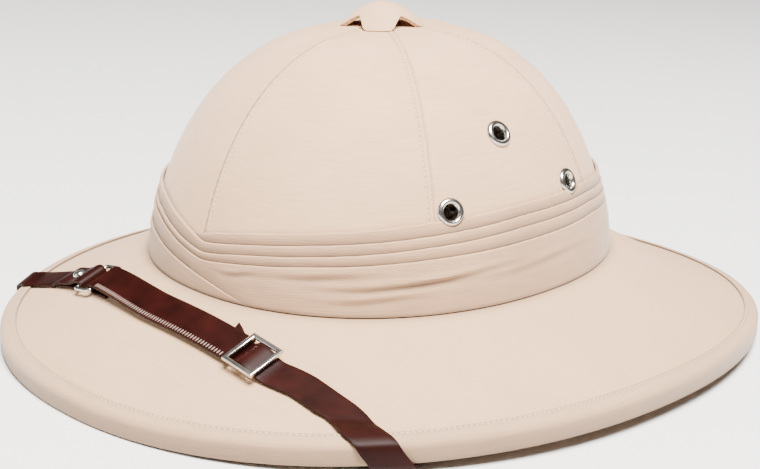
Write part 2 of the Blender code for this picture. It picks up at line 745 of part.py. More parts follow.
# Ring: a rectangle of round wire held in the folds of the tab and the upper strap
def wire_ring(name, x_start, x_end, inside, wire):
    frame = strap_frame((x_start + x_end) / 2)
    half_length, half_width = (x_end - x_start) / 2, (inside + wire) / 2
    curve = bpy.data.curves.new(name, "CURVE")
    curve.dimensions = "3D"
    curve.bevel_depth = wire / 2
    curve.bevel_resolution = 2
    spline = curve.splines.new("POLY")
    corners = ((-half_length, -half_width), (half_length, -half_width), (half_length, half_width),
               (-half_length, half_width))
    spline.points.add(len(corners) - 1)
    for point, corner in zip(spline.points, corners):
        point.co = (*corner, ring_height, 1.0)
    spline.use_cyclic_u = True
    curve.materials.append(nickel)
    ring = bpy.data.objects.new(name, curve)
    ring.matrix_local = frame
    ring.parent = helmet_rest
    helmet_pieces.objects.link(ring)
    return ring


strap_ring = wire_ring("strap_ring", TAB_FOLD_X, UPPER_FOLD_X, RING_INSIDE, RING_WIRE)

# Stud: a domed cap whose post closes the tab's fold
stud_base = over_return + LEATHER + GAP
stud_place = strap_frame(STUD_X) @ Matrix.Translation((0, 0, stud_base))
stud_profile = [
    (0.0, STUD_HEIGHT), (STUD_RADIUS * 0.55, STUD_HEIGHT * 0.86), (STUD_RADIUS * 0.88, STUD_HEIGHT * 0.45),
    (STUD_RADIUS, 0.0), (STUD_POST, 0.0), (STUD_POST, STRAP_REST - stud_base), (0.0, STRAP_REST - stud_base),
]
turned("strap_stud", stud_profile, SMALL_ROUND, stud_place, nickel)
cut(strap_tab, cylinder_cutter("stud_hole", STUD_POST + GAP, 2 * stud_base, stud_place))


# Buckle: a flat frame over the strap, with a centre bar dropped under it
def block(name, size, centre, place):
    bm = bmesh.new()
    bmesh.ops.create_cube(bm, size=1.0)
    bmesh.ops.transform(bm, matrix=place @ Matrix.Translation(centre) @ Matrix.Diagonal((*size, 1.0)),
                        verts=bm.verts[:])
    return bm


buckle_place = strap_frame(BUCKLE_X)
plate = block("buckle", (BUCKLE_LENGTH, BUCKLE_WIDTH, BUCKLE_PLATE),
              (0, 0, plate_bottom + BUCKLE_PLATE / 2), buckle_place)
bmesh.ops.bevel(plate, geom=plate.edges[:], offset=0.0004, segments=1, affect="EDGES", profile=0.5)
buckle = piece_from(plate, "buckle", nickel)
window = block("window", (BUCKLE_LENGTH - 2 * BUCKLE_BAR, BUCKLE_WIDTH - 2 * BUCKLE_BAR, 4 * BUCKLE_PLATE),
               (0, 0, plate_bottom), buckle_place)
cut(buckle, cutter_from(window, "buckle_window"))
bar_bottom = centre_bar_top - 0.0011
yoke = block("yoke", (BUCKLE_CENTRE_BAR, BUCKLE_WIDTH - 0.0008, plate_bottom + 0.0004 - bar_bottom),
             (0, 0, (plate_bottom + 0.0004 + bar_bottom) / 2), buckle_place)
yoke_piece = cutter_from(yoke, "buckle_yoke")
throat = block("throat", (4 * BUCKLE_CENTRE_BAR, BUCKLE_WIDTH - 2 * BUCKLE_BAR, 0.01),
               (0, 0, centre_bar_top + 0.005), buckle_place)
cut(yoke_piece, cutter_from(throat, "buckle_throat"))
union = buckle.modifiers.new("centre_bar", "BOOLEAN")
union.operation = "UNION"
union.object = yoke_piece

# Rivets: one under the brim at each hidden end of the strap
for number, (side, anchor, end_piece) in enumerate(
        ((-1, right_anchor, strap_tab), (1, left_anchor, strap_lower)), start=1):
    up = brim_normal(anchor.x, anchor.y)
    face = brim_top(anchor.x, anchor.y) - Vector((0, 0, BRIM_WALL + STRAP_REST)) - up * (LEATHER + GAP)
    across = up.cross(Vector((1, 0, 0))).normalized()
    rotation = Matrix((across, (-up).cross(across), -up)).transposed().to_4x4()
    place = Matrix.Translation(face) @ rotation
    post = LEATHER + GAP + STRAP_REST + 0.6 * BRIM_WALL
    profile = [
        (0.0, RIVET_HEAD), (RIVET_RADIUS * 0.6, RIVET_HEAD * 0.85), (RIVET_RADIUS, RIVET_HEAD * 0.3),
        (RIVET_RADIUS, 0.0), (RIVET_POST, 0.0), (RIVET_POST, -post), (0.0, -post),
    ]
    turned(f"strap_rivet_{number}", profile, SMALL_ROUND, place, nickel)
    hole = cylinder_cutter(f"rivet_hole_{number}", RIVET_POST + GAP, 2 * (post + GAP), place)
    cut(end_piece, hole)
    cut(brim, hole)

# Rest: the helmet leans until the front and the back of its rim lie level, centred over the origin
helmet_rest.rotation_euler = (REST_LEAN, 0, 0)
bpy.context.view_layer.update()
graph = bpy.context.evaluated_depsgraph_get()
corners = []
for piece in helmet_pieces.objects:
    if piece.type != "EMPTY":
        evaluated = piece.evaluated_get(graph)
        world = evaluated.matrix_world
        mesh = evaluated.to_mesh()
        corners += [world @ vert.co for vert in mesh.vertices]
        evaluated.to_mesh_clear()
lowest = [min(corner[i] for corner in corners) for i in range(3)]
highest = [max(corner[i] for corner in corners) for i in range(3)]
helmet_rest.location = (-(lowest[0] + highest[0]) / 2, -(lowest[1] + highest[1]) / 2, -lowest[2])
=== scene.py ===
import math

import bmesh
import bpy
from mathutils import Matrix, Vector, noise


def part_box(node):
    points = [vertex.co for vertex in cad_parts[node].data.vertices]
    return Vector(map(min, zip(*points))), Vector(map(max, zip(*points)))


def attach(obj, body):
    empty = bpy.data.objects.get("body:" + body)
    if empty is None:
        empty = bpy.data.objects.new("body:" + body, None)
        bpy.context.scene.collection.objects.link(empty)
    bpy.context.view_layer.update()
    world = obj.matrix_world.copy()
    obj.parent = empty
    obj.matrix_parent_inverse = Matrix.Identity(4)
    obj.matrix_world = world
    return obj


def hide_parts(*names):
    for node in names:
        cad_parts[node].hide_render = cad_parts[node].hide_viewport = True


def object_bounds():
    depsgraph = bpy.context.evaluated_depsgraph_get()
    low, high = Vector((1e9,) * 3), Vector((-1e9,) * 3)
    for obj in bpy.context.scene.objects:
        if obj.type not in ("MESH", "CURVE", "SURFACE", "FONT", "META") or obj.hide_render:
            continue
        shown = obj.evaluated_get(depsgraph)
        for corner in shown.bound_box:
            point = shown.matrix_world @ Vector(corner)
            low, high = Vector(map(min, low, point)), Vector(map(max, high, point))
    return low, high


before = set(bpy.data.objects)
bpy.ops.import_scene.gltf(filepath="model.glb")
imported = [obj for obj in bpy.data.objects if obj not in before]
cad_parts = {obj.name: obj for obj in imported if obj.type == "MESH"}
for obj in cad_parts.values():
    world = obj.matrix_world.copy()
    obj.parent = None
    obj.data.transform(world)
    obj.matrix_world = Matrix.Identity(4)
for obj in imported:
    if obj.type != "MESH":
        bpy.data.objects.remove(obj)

cad_low, cad_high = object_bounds()

# How the helmet stands. It rests on a table by the front and the back of its rim, which leans the crown
# back a little. Each piece below is shaped with the foot of the crown level, front to -Y, and is then
# carried by this one placement.
RIM_HALF_WIDTH = 0.1524
RIM_FRONT = 0.1752
RIM_BACK = 0.1944
RIM_DROP_FRONT = 0.0296
RIM_DROP_BACK = 0.0538
RIM_SIDE_LIFT = 0.0061
RIM_EDGE = 0.0083
RIM_ROUNDING = 0.002
SQUARENESS = 2.14

lean = Matrix.Rotation(math.atan2(RIM_DROP_BACK - RIM_DROP_FRONT, RIM_FRONT + RIM_BACK), 4, "X")
front_edge = lean @ Vector((0, -RIM_FRONT, RIM_EDGE - RIM_ROUNDING - RIM_DROP_FRONT))
back_edge = lean @ Vector((0, RIM_BACK, RIM_ROUNDING - RIM_DROP_BACK))
front_foot = lean @ Vector((0, -RIM_FRONT, -RIM_DROP_FRONT))
rim_low, rim_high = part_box("brim_binding")
standing = Matrix.Translation((
    0, (rim_low.y + rim_high.y - front_edge.y - back_edge.y) / 2, rim_low.z - front_foot.z)) @ lean

# The photographer's view and studio: a long lens from the wearer's front left, a seamless white table,
# a broad soft light high over the helmet and a weaker one from the front.
VIEW_TURN = math.radians(45.891)
VIEW_RISE = math.radians(18.356)
VIEW_DISTANCE = 0.6524
VIEW_LENS = 67.62
VIEW_AIM_RIGHT = -0.002246
VIEW_AIM_UP = 0.001121
LIGHTS_AIM = Vector((0, 0, 0.05))
TABLE_HALF_WIDTH = 4.0

backward = Vector((
    math.sin(VIEW_TURN) * math.cos(VIEW_RISE),
    -math.cos(VIEW_TURN) * math.cos(VIEW_RISE),
    math.sin(VIEW_RISE)))
rightward = Vector((math.cos(VIEW_TURN), math.sin(VIEW_TURN), 0))
upward = backward.cross(rightward)
eye = rightward * VIEW_AIM_RIGHT + Vector((0, 0, VIEW_AIM_UP)) + backward * VIEW_DISTANCE
camera_data = bpy.data.cameras.new("photograph_view")
camera_data.lens = VIEW_LENS
camera_data.sensor_width = 36
camera_data.clip_start = 0.02
camera = bpy.data.objects.new("photograph_view", camera_data)
turned_to_helmet = Matrix((rightward, upward, backward)).transposed().to_4x4()
camera.matrix_world = standing @ Matrix.Translation(eye) @ turned_to_helmet
bpy.context.scene.collection.objects.link(camera)
bpy.context.scene.camera = camera

world = bpy.data.worlds.new("studio_air")
world.use_nodes = True
air = world.node_tree.nodes["Background"]
air.inputs["Color"].default_value = (1.0, 0.985, 0.97, 1)
air.inputs["Strength"].default_value = 0.16
bpy.context.scene.world = world


def soft_light(name, place, size, power, colour):
    """A square soft light, aimed at the helmet."""
    light = bpy.data.lights.new(name, "AREA")
    light.shape = "SQUARE"
    light.size = size
    light.energy = power
    light.color = colour
    lamp = bpy.data.objects.new(name, light)
    lamp.location = place
    lamp.rotation_euler = (LIGHTS_AIM - Vector(place)).to_track_quat("-Z", "Y").to_euler()
    bpy.context.scene.collection.objects.link(lamp)


soft_light("overhead_softbox", (0.8, -0.5, 2.2), 1.1, 370, (1.0, 0.97, 0.93))
soft_light("front_fill", (-1.0, -1.6, 0.7), 1.0, 10, (1.0, 0.98, 0.96))

bm = bmesh.new()
bmesh.ops.create_grid(bm, x_segments=2, y_segments=2, size=TABLE_HALF_WIDTH)
table_mesh = bpy.data.meshes.new("white_table")
bm.to_mesh(table_mesh)
bm.free()
white_table = bpy.data.objects.new("white_table", table_mesh)
white_table.location.z = cad_low.z
bpy.context.scene.collection.objects.link(white_table)
paper = bpy.data.materials.new("white_paper")
paper.use_nodes = True
paper_shader = paper.node_tree.nodes["Principled BSDF"]
paper_shader.inputs["Base Color"].default_value = (0.72, 0.72, 0.72, 1)
paper_shader.inputs["Roughness"].default_value = 0.9
table_mesh.materials.append(paper)


# The crown: six gores of khaki cotton twill, cut as long leaves, seamed down their edges and drawn over
# a pressed pith shell. Each seam is turned in, and one side of it is topstitched by machine.
CROWN_HALF_WIDTH = 0.0955
CROWN_FRONT = 0.106
CROWN_BACK = 0.1015
CROWN_HEIGHT = 0.098
CROWN_WALL = 0.005
CROWN_SIDE_POWER = 2.75
CROWN_TOP_POWER = 1.66
CROWN_FOOT_RISE = 0.0017
CROWN_FOOT_GAP = 0.0003
FRONT_SEAM = math.radians(60.5)
BACK_SEAM = math.radians(113.5)
VENT_HOLE_RADIUS = 0.008
SEAM_DEPTH = 0.0012
SEAM_RIDGE = 0.00022
TOPSTITCH_INSET = 0.0024
SEAM_LINES = (0.0, 0.0003, 0.0006, 0.001, 0.0015, 0.002, 0.0024, 0.0028, 0.0035, 0.005)
GORE_MIDDLE_COLUMNS = 24
GORE_ROWS = 70
CLOTH_WAVER = 0.00012
DARKEST_SHADE = 0.8
GORE_LENGTH = 0.15
SEAM_WIDTH = 0.00045
SEAM_SHADE_WIDTH = 0.0005
RIDGE_INSET = 0.0015
RIDGE_WIDTH = 0.0014
TOPSTITCH_WIDTH = 0.0004
TOPSTITCH_DEPTH = 0.00022
STITCHES_AT_ONCE = 40


def oval(angle, half_width, front, back):
    """A point on a squarish oval with its own half lengths to the front and to the back."""
    across, along = math.sin(angle), math.cos(angle)
    reach = (abs(across) ** SQUARENESS + abs(along) ** SQUARENESS) ** (-1 / SQUARENESS)
    return Vector((half_width * across * reach, -(front if along > 0 else back) * along * reach))


def foot_height(angle):
    return CROWN_FOOT_RISE * math.cos(angle)


def crown_point(angle, rise, out=0.0):
    """The crown's surface, moved out by a distance. rise is 0 at the foot and 1 at the top."""
    height = CROWN_HEIGHT + out
    share = (1 - rise ** CROWN_TOP_POWER) ** (1 / CROWN_SIDE_POWER)
    plan = oval(angle, CROWN_HALF_WIDTH + out, CROWN_FRONT + out, CROWN_BACK + out) * share
    return Vector((plan.x, plan.y, foot_height(angle) * (1 - rise) + height * rise))


def crown_at(angle, over_foot, out=0.0):
    """The crown's surface at a height over its own foot."""
    return crown_point(angle, over_foot / (CROWN_HEIGHT + out), out)


def crown_frame(angle, over_foot):
    """A frame on the crown: X along it to the wearer's left, Z straight out."""
    step = 0.001
    here = crown_at(angle, over_foot)
    across = crown_at(angle + step, over_foot) - here
    outward = across.cross(crown_at(angle, over_foot + step) - here).normalized()
    side = across.normalized()
    return Matrix.Translation(here) @ Matrix((side, outward.cross(side), outward)).transposed().to_4x4()


def waver(place, size, seed=0.0):
    """Slow unevenness of hand-laid cloth, from -1 to 1."""
    return noise.noise(Vector(place) / size + Vector((seed, 0, 0)))


def finished(bm, name, material, replaced=(), sharp=35):
    """A finished piece in its place on the standing helmet."""
    bmesh.ops.transform(bm, matrix=standing, verts=bm.verts[:])
    mesh = bpy.data.meshes.new(name)
    bm.to_mesh(mesh)
    bm.free()
    mesh.shade_smooth()
    mesh.set_sharp_from_angle(angle=math.radians(sharp))
    mesh.materials.append(material)
    piece = bpy.data.objects.new(name, mesh)
    bpy.context.scene.collection.objects.link(piece)
    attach(piece, "root")
    if replaced:
        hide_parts(*replaced)
    return piece


def weave_map(bm, spots):
    """Lays the cloth's own map, in metres along its weft and its warp, from each point's place on it."""
    layer = bm.loops.layers.uv.new("weave")
    for face in bm.faces:
        for loop in face.loops:
            loop[layer].uv = spots[loop.vert]


def painted(name):
    """A new material, with its tree of nodes and its shader."""
    material = bpy.data.materials.new(name)
    material.use_nodes = True
    return material, material.node_tree, material.node_tree.nodes["Principled BSDF"]


def wired(tree, made, **inputs):
    """Sets a node's inputs: another node's output is linked to one, and a plain value is typed in."""
    for name, value in inputs.items():
        socket = made.inputs[name.replace("_", " ")]
        if isinstance(value, bpy.types.NodeSocket):
            tree.links.new(value, socket)
        else:
            socket.default_value = value
    return made


def node(tree, kind, **inputs):
    return wired(tree, tree.nodes.new("ShaderNode" + kind), **inputs)


def tones(tree, value, *stops):
    """A colour that runs with a value between two stops, each a value and its colour."""
    ramp = node(tree, "ValToRGB", Fac=value)
    for element, (position, colour) in zip(ramp.color_ramp.elements, stops):
        element.position = position
        element.color = (*colour, 1)
    return ramp.outputs["Color"]


def attribute(tree, name):
    made = node(tree, "Attribute")
    made.attribute_name = name
    return made.outputs["Fac"]


def cloth_place(tree):
    """A point's place on its own cloth or hide."""
    made = node(tree, "UVMap")
    made.uv_map = "weave"
    return made.outputs["UV"]


def twill(name, light, dark, turn=0.0):
    """Cotton twill: fine slanting wales over crossed threads, thick and thin weft, and painted shade and
    highlight from each point's shade value.
    """
    material, tree, shader = painted(name)
    cloth = cloth_place(tree)

    def spread(scale, angle=0.0):
        mapping = node(tree, "Mapping", Vector=cloth, Scale=(*scale, 1), Rotation=(0, 0, turn + angle))
        return mapping.outputs["Vector"]

    def ribs(period, angle, uneven):
        across = spread((math.tau / 20 / period,) * 2, angle)
        return node(tree, "TexWave", Vector=across, Scale=1, Distortion=uneven, Detail=1).outputs["Fac"]

    def mottle(scale, detail):
        return node(tree, "TexNoise", Vector=spread(scale), Scale=1, Detail=detail).outputs["Fac"]

    def blend(a, b, share):
        return node(tree, "Mix", A=a, B=b, Factor=share).outputs["Result"]

    wales = ribs(0.00062, math.radians(63), 0.8)
    threads = ribs(0.00038, math.radians(90), 1.5)
    weft = mottle((70, 1500), 2)
    patches = mottle((22, 30), 3)
    tone = blend(blend(wales, threads, 0.35), blend(weft, patches, 0.45), 0.62)
    # Painted light: a positive shade value darkens the colour as painted shade, a negative one lightens it as
    # a painted highlight.
    dimmed = node(tree, "Math")
    dimmed.operation = "MULTIPLY_ADD"
    tree.links.new(attribute(tree, "shade"), dimmed.inputs[0])
    dimmed.inputs[1].default_value = -DARKEST_SHADE
    dimmed.inputs[2].default_value = 1
    shaded = node(tree, "VectorMath")
    shaded.operation = "SCALE"
    tree.links.new(tones(tree, tone, (0.36, dark), (0.63, light)), shaded.inputs[0])
    wired(tree, shaded, Scale=dimmed.outputs["Value"])
    relief = blend(blend(wales, threads, 0.4), weft, 0.4)
    bump = node(tree, "Bump", Height=relief, Strength=0.7, Distance=0.00009)
    wired(tree, shader, Base_Color=shaded.outputs["Vector"], Normal=bump.outputs["Normal"], Roughness=0.88,
          Sheen_Weight=0.2, Sheen_Roughness=0.5)
    return material


def cotton_thread(name, twist, dark, light, roughness):
    """Sewing thread, its tone uneven along the twist."""
    material, tree, shader = painted(name)
    place = node(tree, "TexCoord").outputs["Object"]
    tone = node(tree, "TexNoise", Vector=place, Scale=twist).outputs["Fac"]
    wired(tree, shader, Base_Color=tones(tree, tone, (0, dark), (1, light)), Roughness=roughness)
    return material


crown_twill = twill("crown_twill", (0.63, 0.39, 0.225), (0.45, 0.27, 0.15))
thread_cotton = cotton_thread("thread_cotton", 2500, (0.50, 0.38, 0.28), (0.78, 0.64, 0.50), 0.8)

top_turn = math.acos((VENT_HOLE_RADIUS / CROWN_HALF_WIDTH) ** (CROWN_SIDE_POWER / 2))


def meridian(share):
    """The rise at an even share of the way from the crown's foot to the vent."""
    return math.sin(top_turn * share) ** (2 / CROWN_TOP_POWER)


def seam_relief(distance, drawn, topstitched):
    """How far the cloth stands out near a seam: a turned-in edge, a ridge over its allowance, a sewn line."""
    relief = SEAM_RIDGE * math.exp(-((distance - RIDGE_INSET) / RIDGE_WIDTH) ** 2)
    relief -= SEAM_DEPTH * drawn * math.exp(-(distance / SEAM_WIDTH) ** 2)
    if topstitched:
        relief -= TOPSTITCH_DEPTH * math.exp(-((distance - TOPSTITCH_INSET) / TOPSTITCH_WIDTH) ** 2)
    return relief


def gore(number, start, end, drawn_start, drawn_end, sewn_start, sewn_end):
    """One gore between two seams, each drawn in by a share and topstitched or not."""
    steps = len(SEAM_LINES) - 1
    columns = 2 * steps + GORE_MIDDLE_COLUMNS
    bm = bmesh.new()
    shade = bm.verts.layers.float.new("shade")
    bmesh.ops.create_grid(bm, x_segments=columns, y_segments=GORE_ROWS, size=0.5)
    outer = bm.verts[:]
    grown = bmesh.ops.extrude_face_region(bm, geom=bm.faces[:])
    inner = [item for item in grown["geom"] if isinstance(item, bmesh.types.BMVert)]
    spots = {}
    for verts, outside in ((outer, True), (inner, False)):
        for vert in verts:
            column, up = round((vert.co.x + 0.5) * columns), vert.co.y + 0.5
            rise = meridian(up)
            radius = (crown_point((start + end) / 2, rise).xy).length
            width = radius * (end - start)
            squeeze = min(1.0, width / 0.02)
            if column <= steps:
                distance = SEAM_LINES[column] * squeeze
            elif column >= columns - steps:
                distance = width - SEAM_LINES[columns - column] * squeeze
            else:
                margin = SEAM_LINES[-1] * squeeze
                distance = margin + (width - 2 * margin) * (column - steps) / GORE_MIDDLE_COLUMNS
            angle = start + (end - start) * distance / width
            out = -CROWN_WALL
            if outside:
                out = seam_relief(distance / squeeze, drawn_start, sewn_start) * squeeze
                out += seam_relief((width - distance) / squeeze, drawn_end, sewn_end) * squeeze
                out += CLOTH_WAVER * waver(crown_point(angle, rise), 0.02, number)
            point = crown_point(angle, rise, out)
            if up == 0.0:
                point.z = foot_height(angle) + CROWN_FOOT_GAP
            vert.co = point
            spots[vert] = (distance - width / 2, up * GORE_LENGTH)
            edge = min(distance, width - distance) / squeeze
            first_half = distance < width / 2
            # Painted shade: the colour darkens along each seam's crease and along its topstitched groove, in
            # dashes that alternate from row to row.
            dash = 1.0 if round(up * GORE_ROWS) % 2 else 0.6
            drawn = drawn_start if first_half else drawn_end
            vert[shade] = drawn * dash * math.exp(-(edge / SEAM_SHADE_WIDTH) ** 2)
            if sewn_start and first_half or sewn_end and not first_half:
                vert[shade] += 0.5 * dash * math.exp(-((edge - TOPSTITCH_INSET) / TOPSTITCH_WIDTH) ** 2)
    weave_map(bm, spots)
    bmesh.ops.recalc_face_normals(bm, faces=bm.faces[:])
    return finished(bm, f"crown_gore_{number}", crown_twill, [f"crown_panel_{number}"])


seams = (0.0, FRONT_SEAM, BACK_SEAM, math.pi, math.tau - BACK_SEAM, math.tau - FRONT_SEAM, math.tau)
# How far each seam is drawn in; the same share also sets how much painted shade darkens it.
drawn_in = (1.15, 0.3, 1.15, 1.15, 1.15, 0.3, 1.15)
topstitched = ((True, True), (False, True), (False, True), (False, False), (True, False), (True, False))
gores = [
    gore(number, *ends, *depths, *sewn)
    for number, (ends, depths, sewn) in enumerate(
        zip(zip(seams, seams[1:]), zip(drawn_in, drawn_in[1:]), topstitched), start=1)
]


def even_stations(points, pitch):
    """Places at an even pitch along a line of points, each with the direction of the line there."""
    stations = []
    due = pitch / 2
    run = 0.0
    for here, there in zip(points, points[1:]):
        length = (there - here).length
        while due < run + length:
            share = (due - run) / length
            stations.append((here.lerp(there, share), (there - here).normalized()))
            due += pitch
        run += length
    return stations


def joined(bm, part):
    """Joins a part, made by itself, onto a piece."""
    part_mesh = bpy.data.meshes.new("part")
    part.to_mesh(part_mesh)
    part.free()
    bm.from_mesh(part_mesh)
    bpy.data.meshes.remove(part_mesh)


def sew(bm, points, facing, size, pitch):
    """Stitches along a line: domes of thread of a (length, width, height). facing gives straight out."""
    stations = even_stations(points, pitch)
    shape = Matrix.Diagonal((*(extent / 2 for extent in size), 1))
    for first in range(0, len(stations), STITCHES_AT_ONCE):
        few = bmesh.new()
        for place, along in stations[first:first + STITCHES_AT_ONCE]:
            up = facing(place)
            up = (up - along * up.dot(along)).normalized()
            turn = Matrix((along, up.cross(along), up)).transposed().to_4x4()
            bmesh.ops.create_uvsphere(
                few, u_segments=8, v_segments=5, radius=1.0, matrix=Matrix.Translation(place) @ turn @ shape)
        joined(bm, few)


def out_of_crown(place):
    return Vector((place.x, place.y, max(place.z, 0.0) * 0.9 + 0.01)).normalized()


crown_thread = bmesh.new()
for seam, side in zip(seams, (1, -1, -1, -1, 1, 1)):
    line = []
    for step in range(120):
        rise = meridian(0.10 + 0.78 * step / 119)
        radius = crown_point(seam, rise).xy.length
        line.append(crown_point(seam + side * TOPSTITCH_INSET / radius, rise, -0.00008))
    sew(crown_thread, line, out_of_crown, (0.0015, 0.00042, 0.00042), 0.0021)
finished(crown_thread, "crown_topstitching", thread_cotton)


# The brim: one stiff pith sweep, covered above and below with the same twill pasted flat, so it shows no
# gores. It slopes steeply at the crown and flattens towards the rim.
BAND_FOOT = 0.0018
BRIM_WALL = 0.0055
BRIM_SAG = 0.25
BINDING_WALL = 0.0011
LAP = 0.0003
BRIM_COLUMNS = 240
BRIM_ROWS = 26


def seat_plan(angle):
    """Where the brim starts to slope, just outside the foot of the pugaree."""
    return oval(angle, CROWN_HALF_WIDTH + BAND_FOOT, CROWN_FRONT + BAND_FOOT, CROWN_BACK + BAND_FOOT)


def rim_plan(angle):
    return oval(angle, RIM_HALF_WIDTH, RIM_FRONT, RIM_BACK)


def rim_bottom(angle):
    middle = (RIM_DROP_FRONT + RIM_DROP_BACK) / 2
    tilt = (RIM_DROP_BACK - RIM_DROP_FRONT) / 2
    return tilt * math.cos(angle) - middle + RIM_SIDE_LIFT * math.sin(angle) ** 2


def brim_point(angle, share):
    """The top of the brim. share is 0 at the foot of the crown and 1 at the rim's outer edge."""
    plan = seat_plan(angle).lerp(rim_plan(angle), share)
    top = rim_bottom(angle) + RIM_EDGE - BINDING_WALL - LAP
    fall = share + BRIM_SAG * share * (1 - share)
    return Vector((plan.x, plan.y, foot_height(angle) + (top - foot_height(angle)) * fall))


def rim_share(angle, inset):
    """The share at which the brim lies a distance inside the rim's outer edge."""
    return 1 - inset / (rim_plan(angle) - seat_plan(angle)).length


def laid_grid(bm, columns, rows):
    """A grid of faces to be bent into a skin, as its points with the column and the row of each."""
    bmesh.ops.create_grid(bm, x_segments=columns, y_segments=rows, size=0.5)
    return [(vert, round((vert.co.x + 0.5) * columns), round((vert.co.y + 0.5) * rows)) for vert in bm.verts]


def closed_up(bm):
    """Welds a skin where its ends meet and turns its faces outwards."""
    bmesh.ops.remove_doubles(bm, verts=bm.verts[:], dist=1e-6)
    bmesh.ops.dissolve_degenerate(bm, edges=bm.edges[:], dist=1e-7)
    bmesh.ops.recalc_face_normals(bm, faces=bm.faces[:])


def hoop(columns, section):
    """A closed skin round the helmet. section(angle) lists (point, map place, shade) rows of its outline."""
    rows = len(section(0.0))
    bm = bmesh.new()
    shade = bm.verts.layers.float.new("shade")
    sections = [section(math.tau * column / columns) for column in range(columns + 1)]
    spots = {}
    for vert, column, row in laid_grid(bm, columns, rows):
        vert.co, spots[vert], vert[shade] = sections[column][row % rows]
    weave_map(bm, spots)
    closed_up(bm)
    return bm


def brim_section(angle):
    edge = rim_share(angle, BINDING_WALL + LAP)
    inner = oval(angle, CROWN_HALF_WIDTH - CROWN_WALL, CROWN_FRONT - CROWN_WALL, CROWN_BACK - CROWN_WALL)
    landing = Vector((inner.x, inner.y, foot_height(angle)))
    down = Vector((0, 0, -BRIM_WALL))
    top = [landing]
    for row in range(BRIM_ROWS + 1):
        share = edge * row / BRIM_ROWS
        point = brim_point(angle, share)
        settled = math.sin(math.pi * min(1.0, share * 1.02)) ** 2
        point.z += 0.00018 * settled * waver(point, 0.035, 5.0)
        top.append(point)
    under = [brim_point(angle, edge * row / 8) for row in range(8, -1, -1)] + [landing]
    # Painted shade on the brim's seat, where it runs under the foot of the pugaree.
    seat_shade = [0.5, 0.5, 0.12] + [0.0] * len(top)
    return [(point, point.xy, dark) for point, dark in zip(top, seat_shade)] + [
        (point + down, point.xy, 0.0) for point in under]


brim_twill = twill("brim_twill", (0.55, 0.34, 0.195), (0.43, 0.26, 0.145), math.radians(8))
finished(hoop(BRIM_COLUMNS, brim_section), "brim_cover", brim_twill, ["brim"])


# The rim's binding: a bias strip of the twill, sewn on along its inner edge with small stitches, then
# turned over the edge of the brim and pasted down underneath.
BINDING_TOP_WIDTH = 0.0072
BINDING_UNDER_WIDTH = 0.006
BINDING_COLUMNS = 360
BINDING_STITCH_INSET = 0.0013


def binding_section(angle):
    wall = BINDING_WALL + LAP
    low = rim_bottom(angle)
    arc = angle * 0.165

    def over(inset, lift):
        return brim_point(angle, rim_share(angle, inset)) + Vector((0, 0, lift))

    def edge(inset, height):
        plan = over(inset, 0.0)
        return Vector((plan.x, plan.y, height))

    top = over(0.0, wall).z
    pucker = 0.00010 * waver((math.cos(angle) * 0.16, math.sin(angle) * 0.17, 0), 0.006, 9.0)
    points = [
        over(BINDING_TOP_WIDTH, LAP),
        over(BINDING_TOP_WIDTH, wall * 0.35),
        over(BINDING_TOP_WIDTH - 0.0003, wall * 0.75 + pucker),
        over(BINDING_TOP_WIDTH - 0.0009, wall * 0.92 + pucker),
        over(BINDING_TOP_WIDTH - 0.0013, wall * 0.78),
        over(BINDING_TOP_WIDTH - 0.0018, wall * 0.96 + pucker),
        over(0.0040, wall + pucker + 0.0001),
        over(0.0028, wall + 0.0001),
        over(0.0018, wall),
        edge(0.0010, top - 0.0001),
        edge(0.0004, top - 0.0007),
        edge(0.0001, top - 0.0014),
        edge(0.0, top - 0.0024),
        edge(0.00005, top - 0.0040),
        edge(0.0, low + 0.0018),
        edge(0.0003, low + 0.0007),
        edge(0.0009, low + 0.0001),
        edge(0.0018, low),
        over(0.0040, -BRIM_WALL - wall - 0.0003),
        over(BINDING_UNDER_WIDTH, -BRIM_WALL - wall),
        over(BINDING_UNDER_WIDTH, -BRIM_WALL - LAP),
        over(BINDING_WALL, -BRIM_WALL - LAP),
        over(BINDING_WALL, LAP),
    ]
    # Painted shade: darkening in the crease along the binding's sewn inner edge, and down the rim's outer
    # edge and round under it.
    seam_shades = [1.0, 1.0, 0.35, 0.1, 0.45, 0.1, 0.0, 0.0, 0.05]
    rim_edge_painted_shade = [0.15, 0.22, 0.30, 0.38, 0.44, 0.48, 0.5, 0.5, 0.5]
    shades = seam_shades + rim_edge_painted_shade + [0.0] * len(points)
    rows = []
    run = 0.0
    for before, point, shade in zip([points[0]] + points, points, shades):
        run += (point - before).length
        rows.append((point, (arc, run), shade))
    return rows


# The binding's twill is set darker than the crown's: painted shade for the rim, which the overhead light
# reaches less.
binding_twill = twill("binding_twill", (0.48, 0.30, 0.175), (0.34, 0.205, 0.118), math.radians(45))
binding = hoop(BINDING_COLUMNS, binding_section)
finished(binding, "rim_binding", binding_twill, ["brim_binding"])

binding_thread = bmesh.new()
line = []
for step in range(721):
    angle = math.tau * step / 720
    share = rim_share(angle, BINDING_TOP_WIDTH - BINDING_STITCH_INSET)
    line.append(brim_point(angle, share) + Vector((0, 0, (BINDING_WALL + LAP) * 0.84)))
sew(binding_thread, line, lambda place: Vector((place.x, place.y, 0.4)).normalized(),
    (0.0016, 0.00038, 0.00038), 0.0022)
finished(binding_thread, "binding_stitching", thread_cotton)


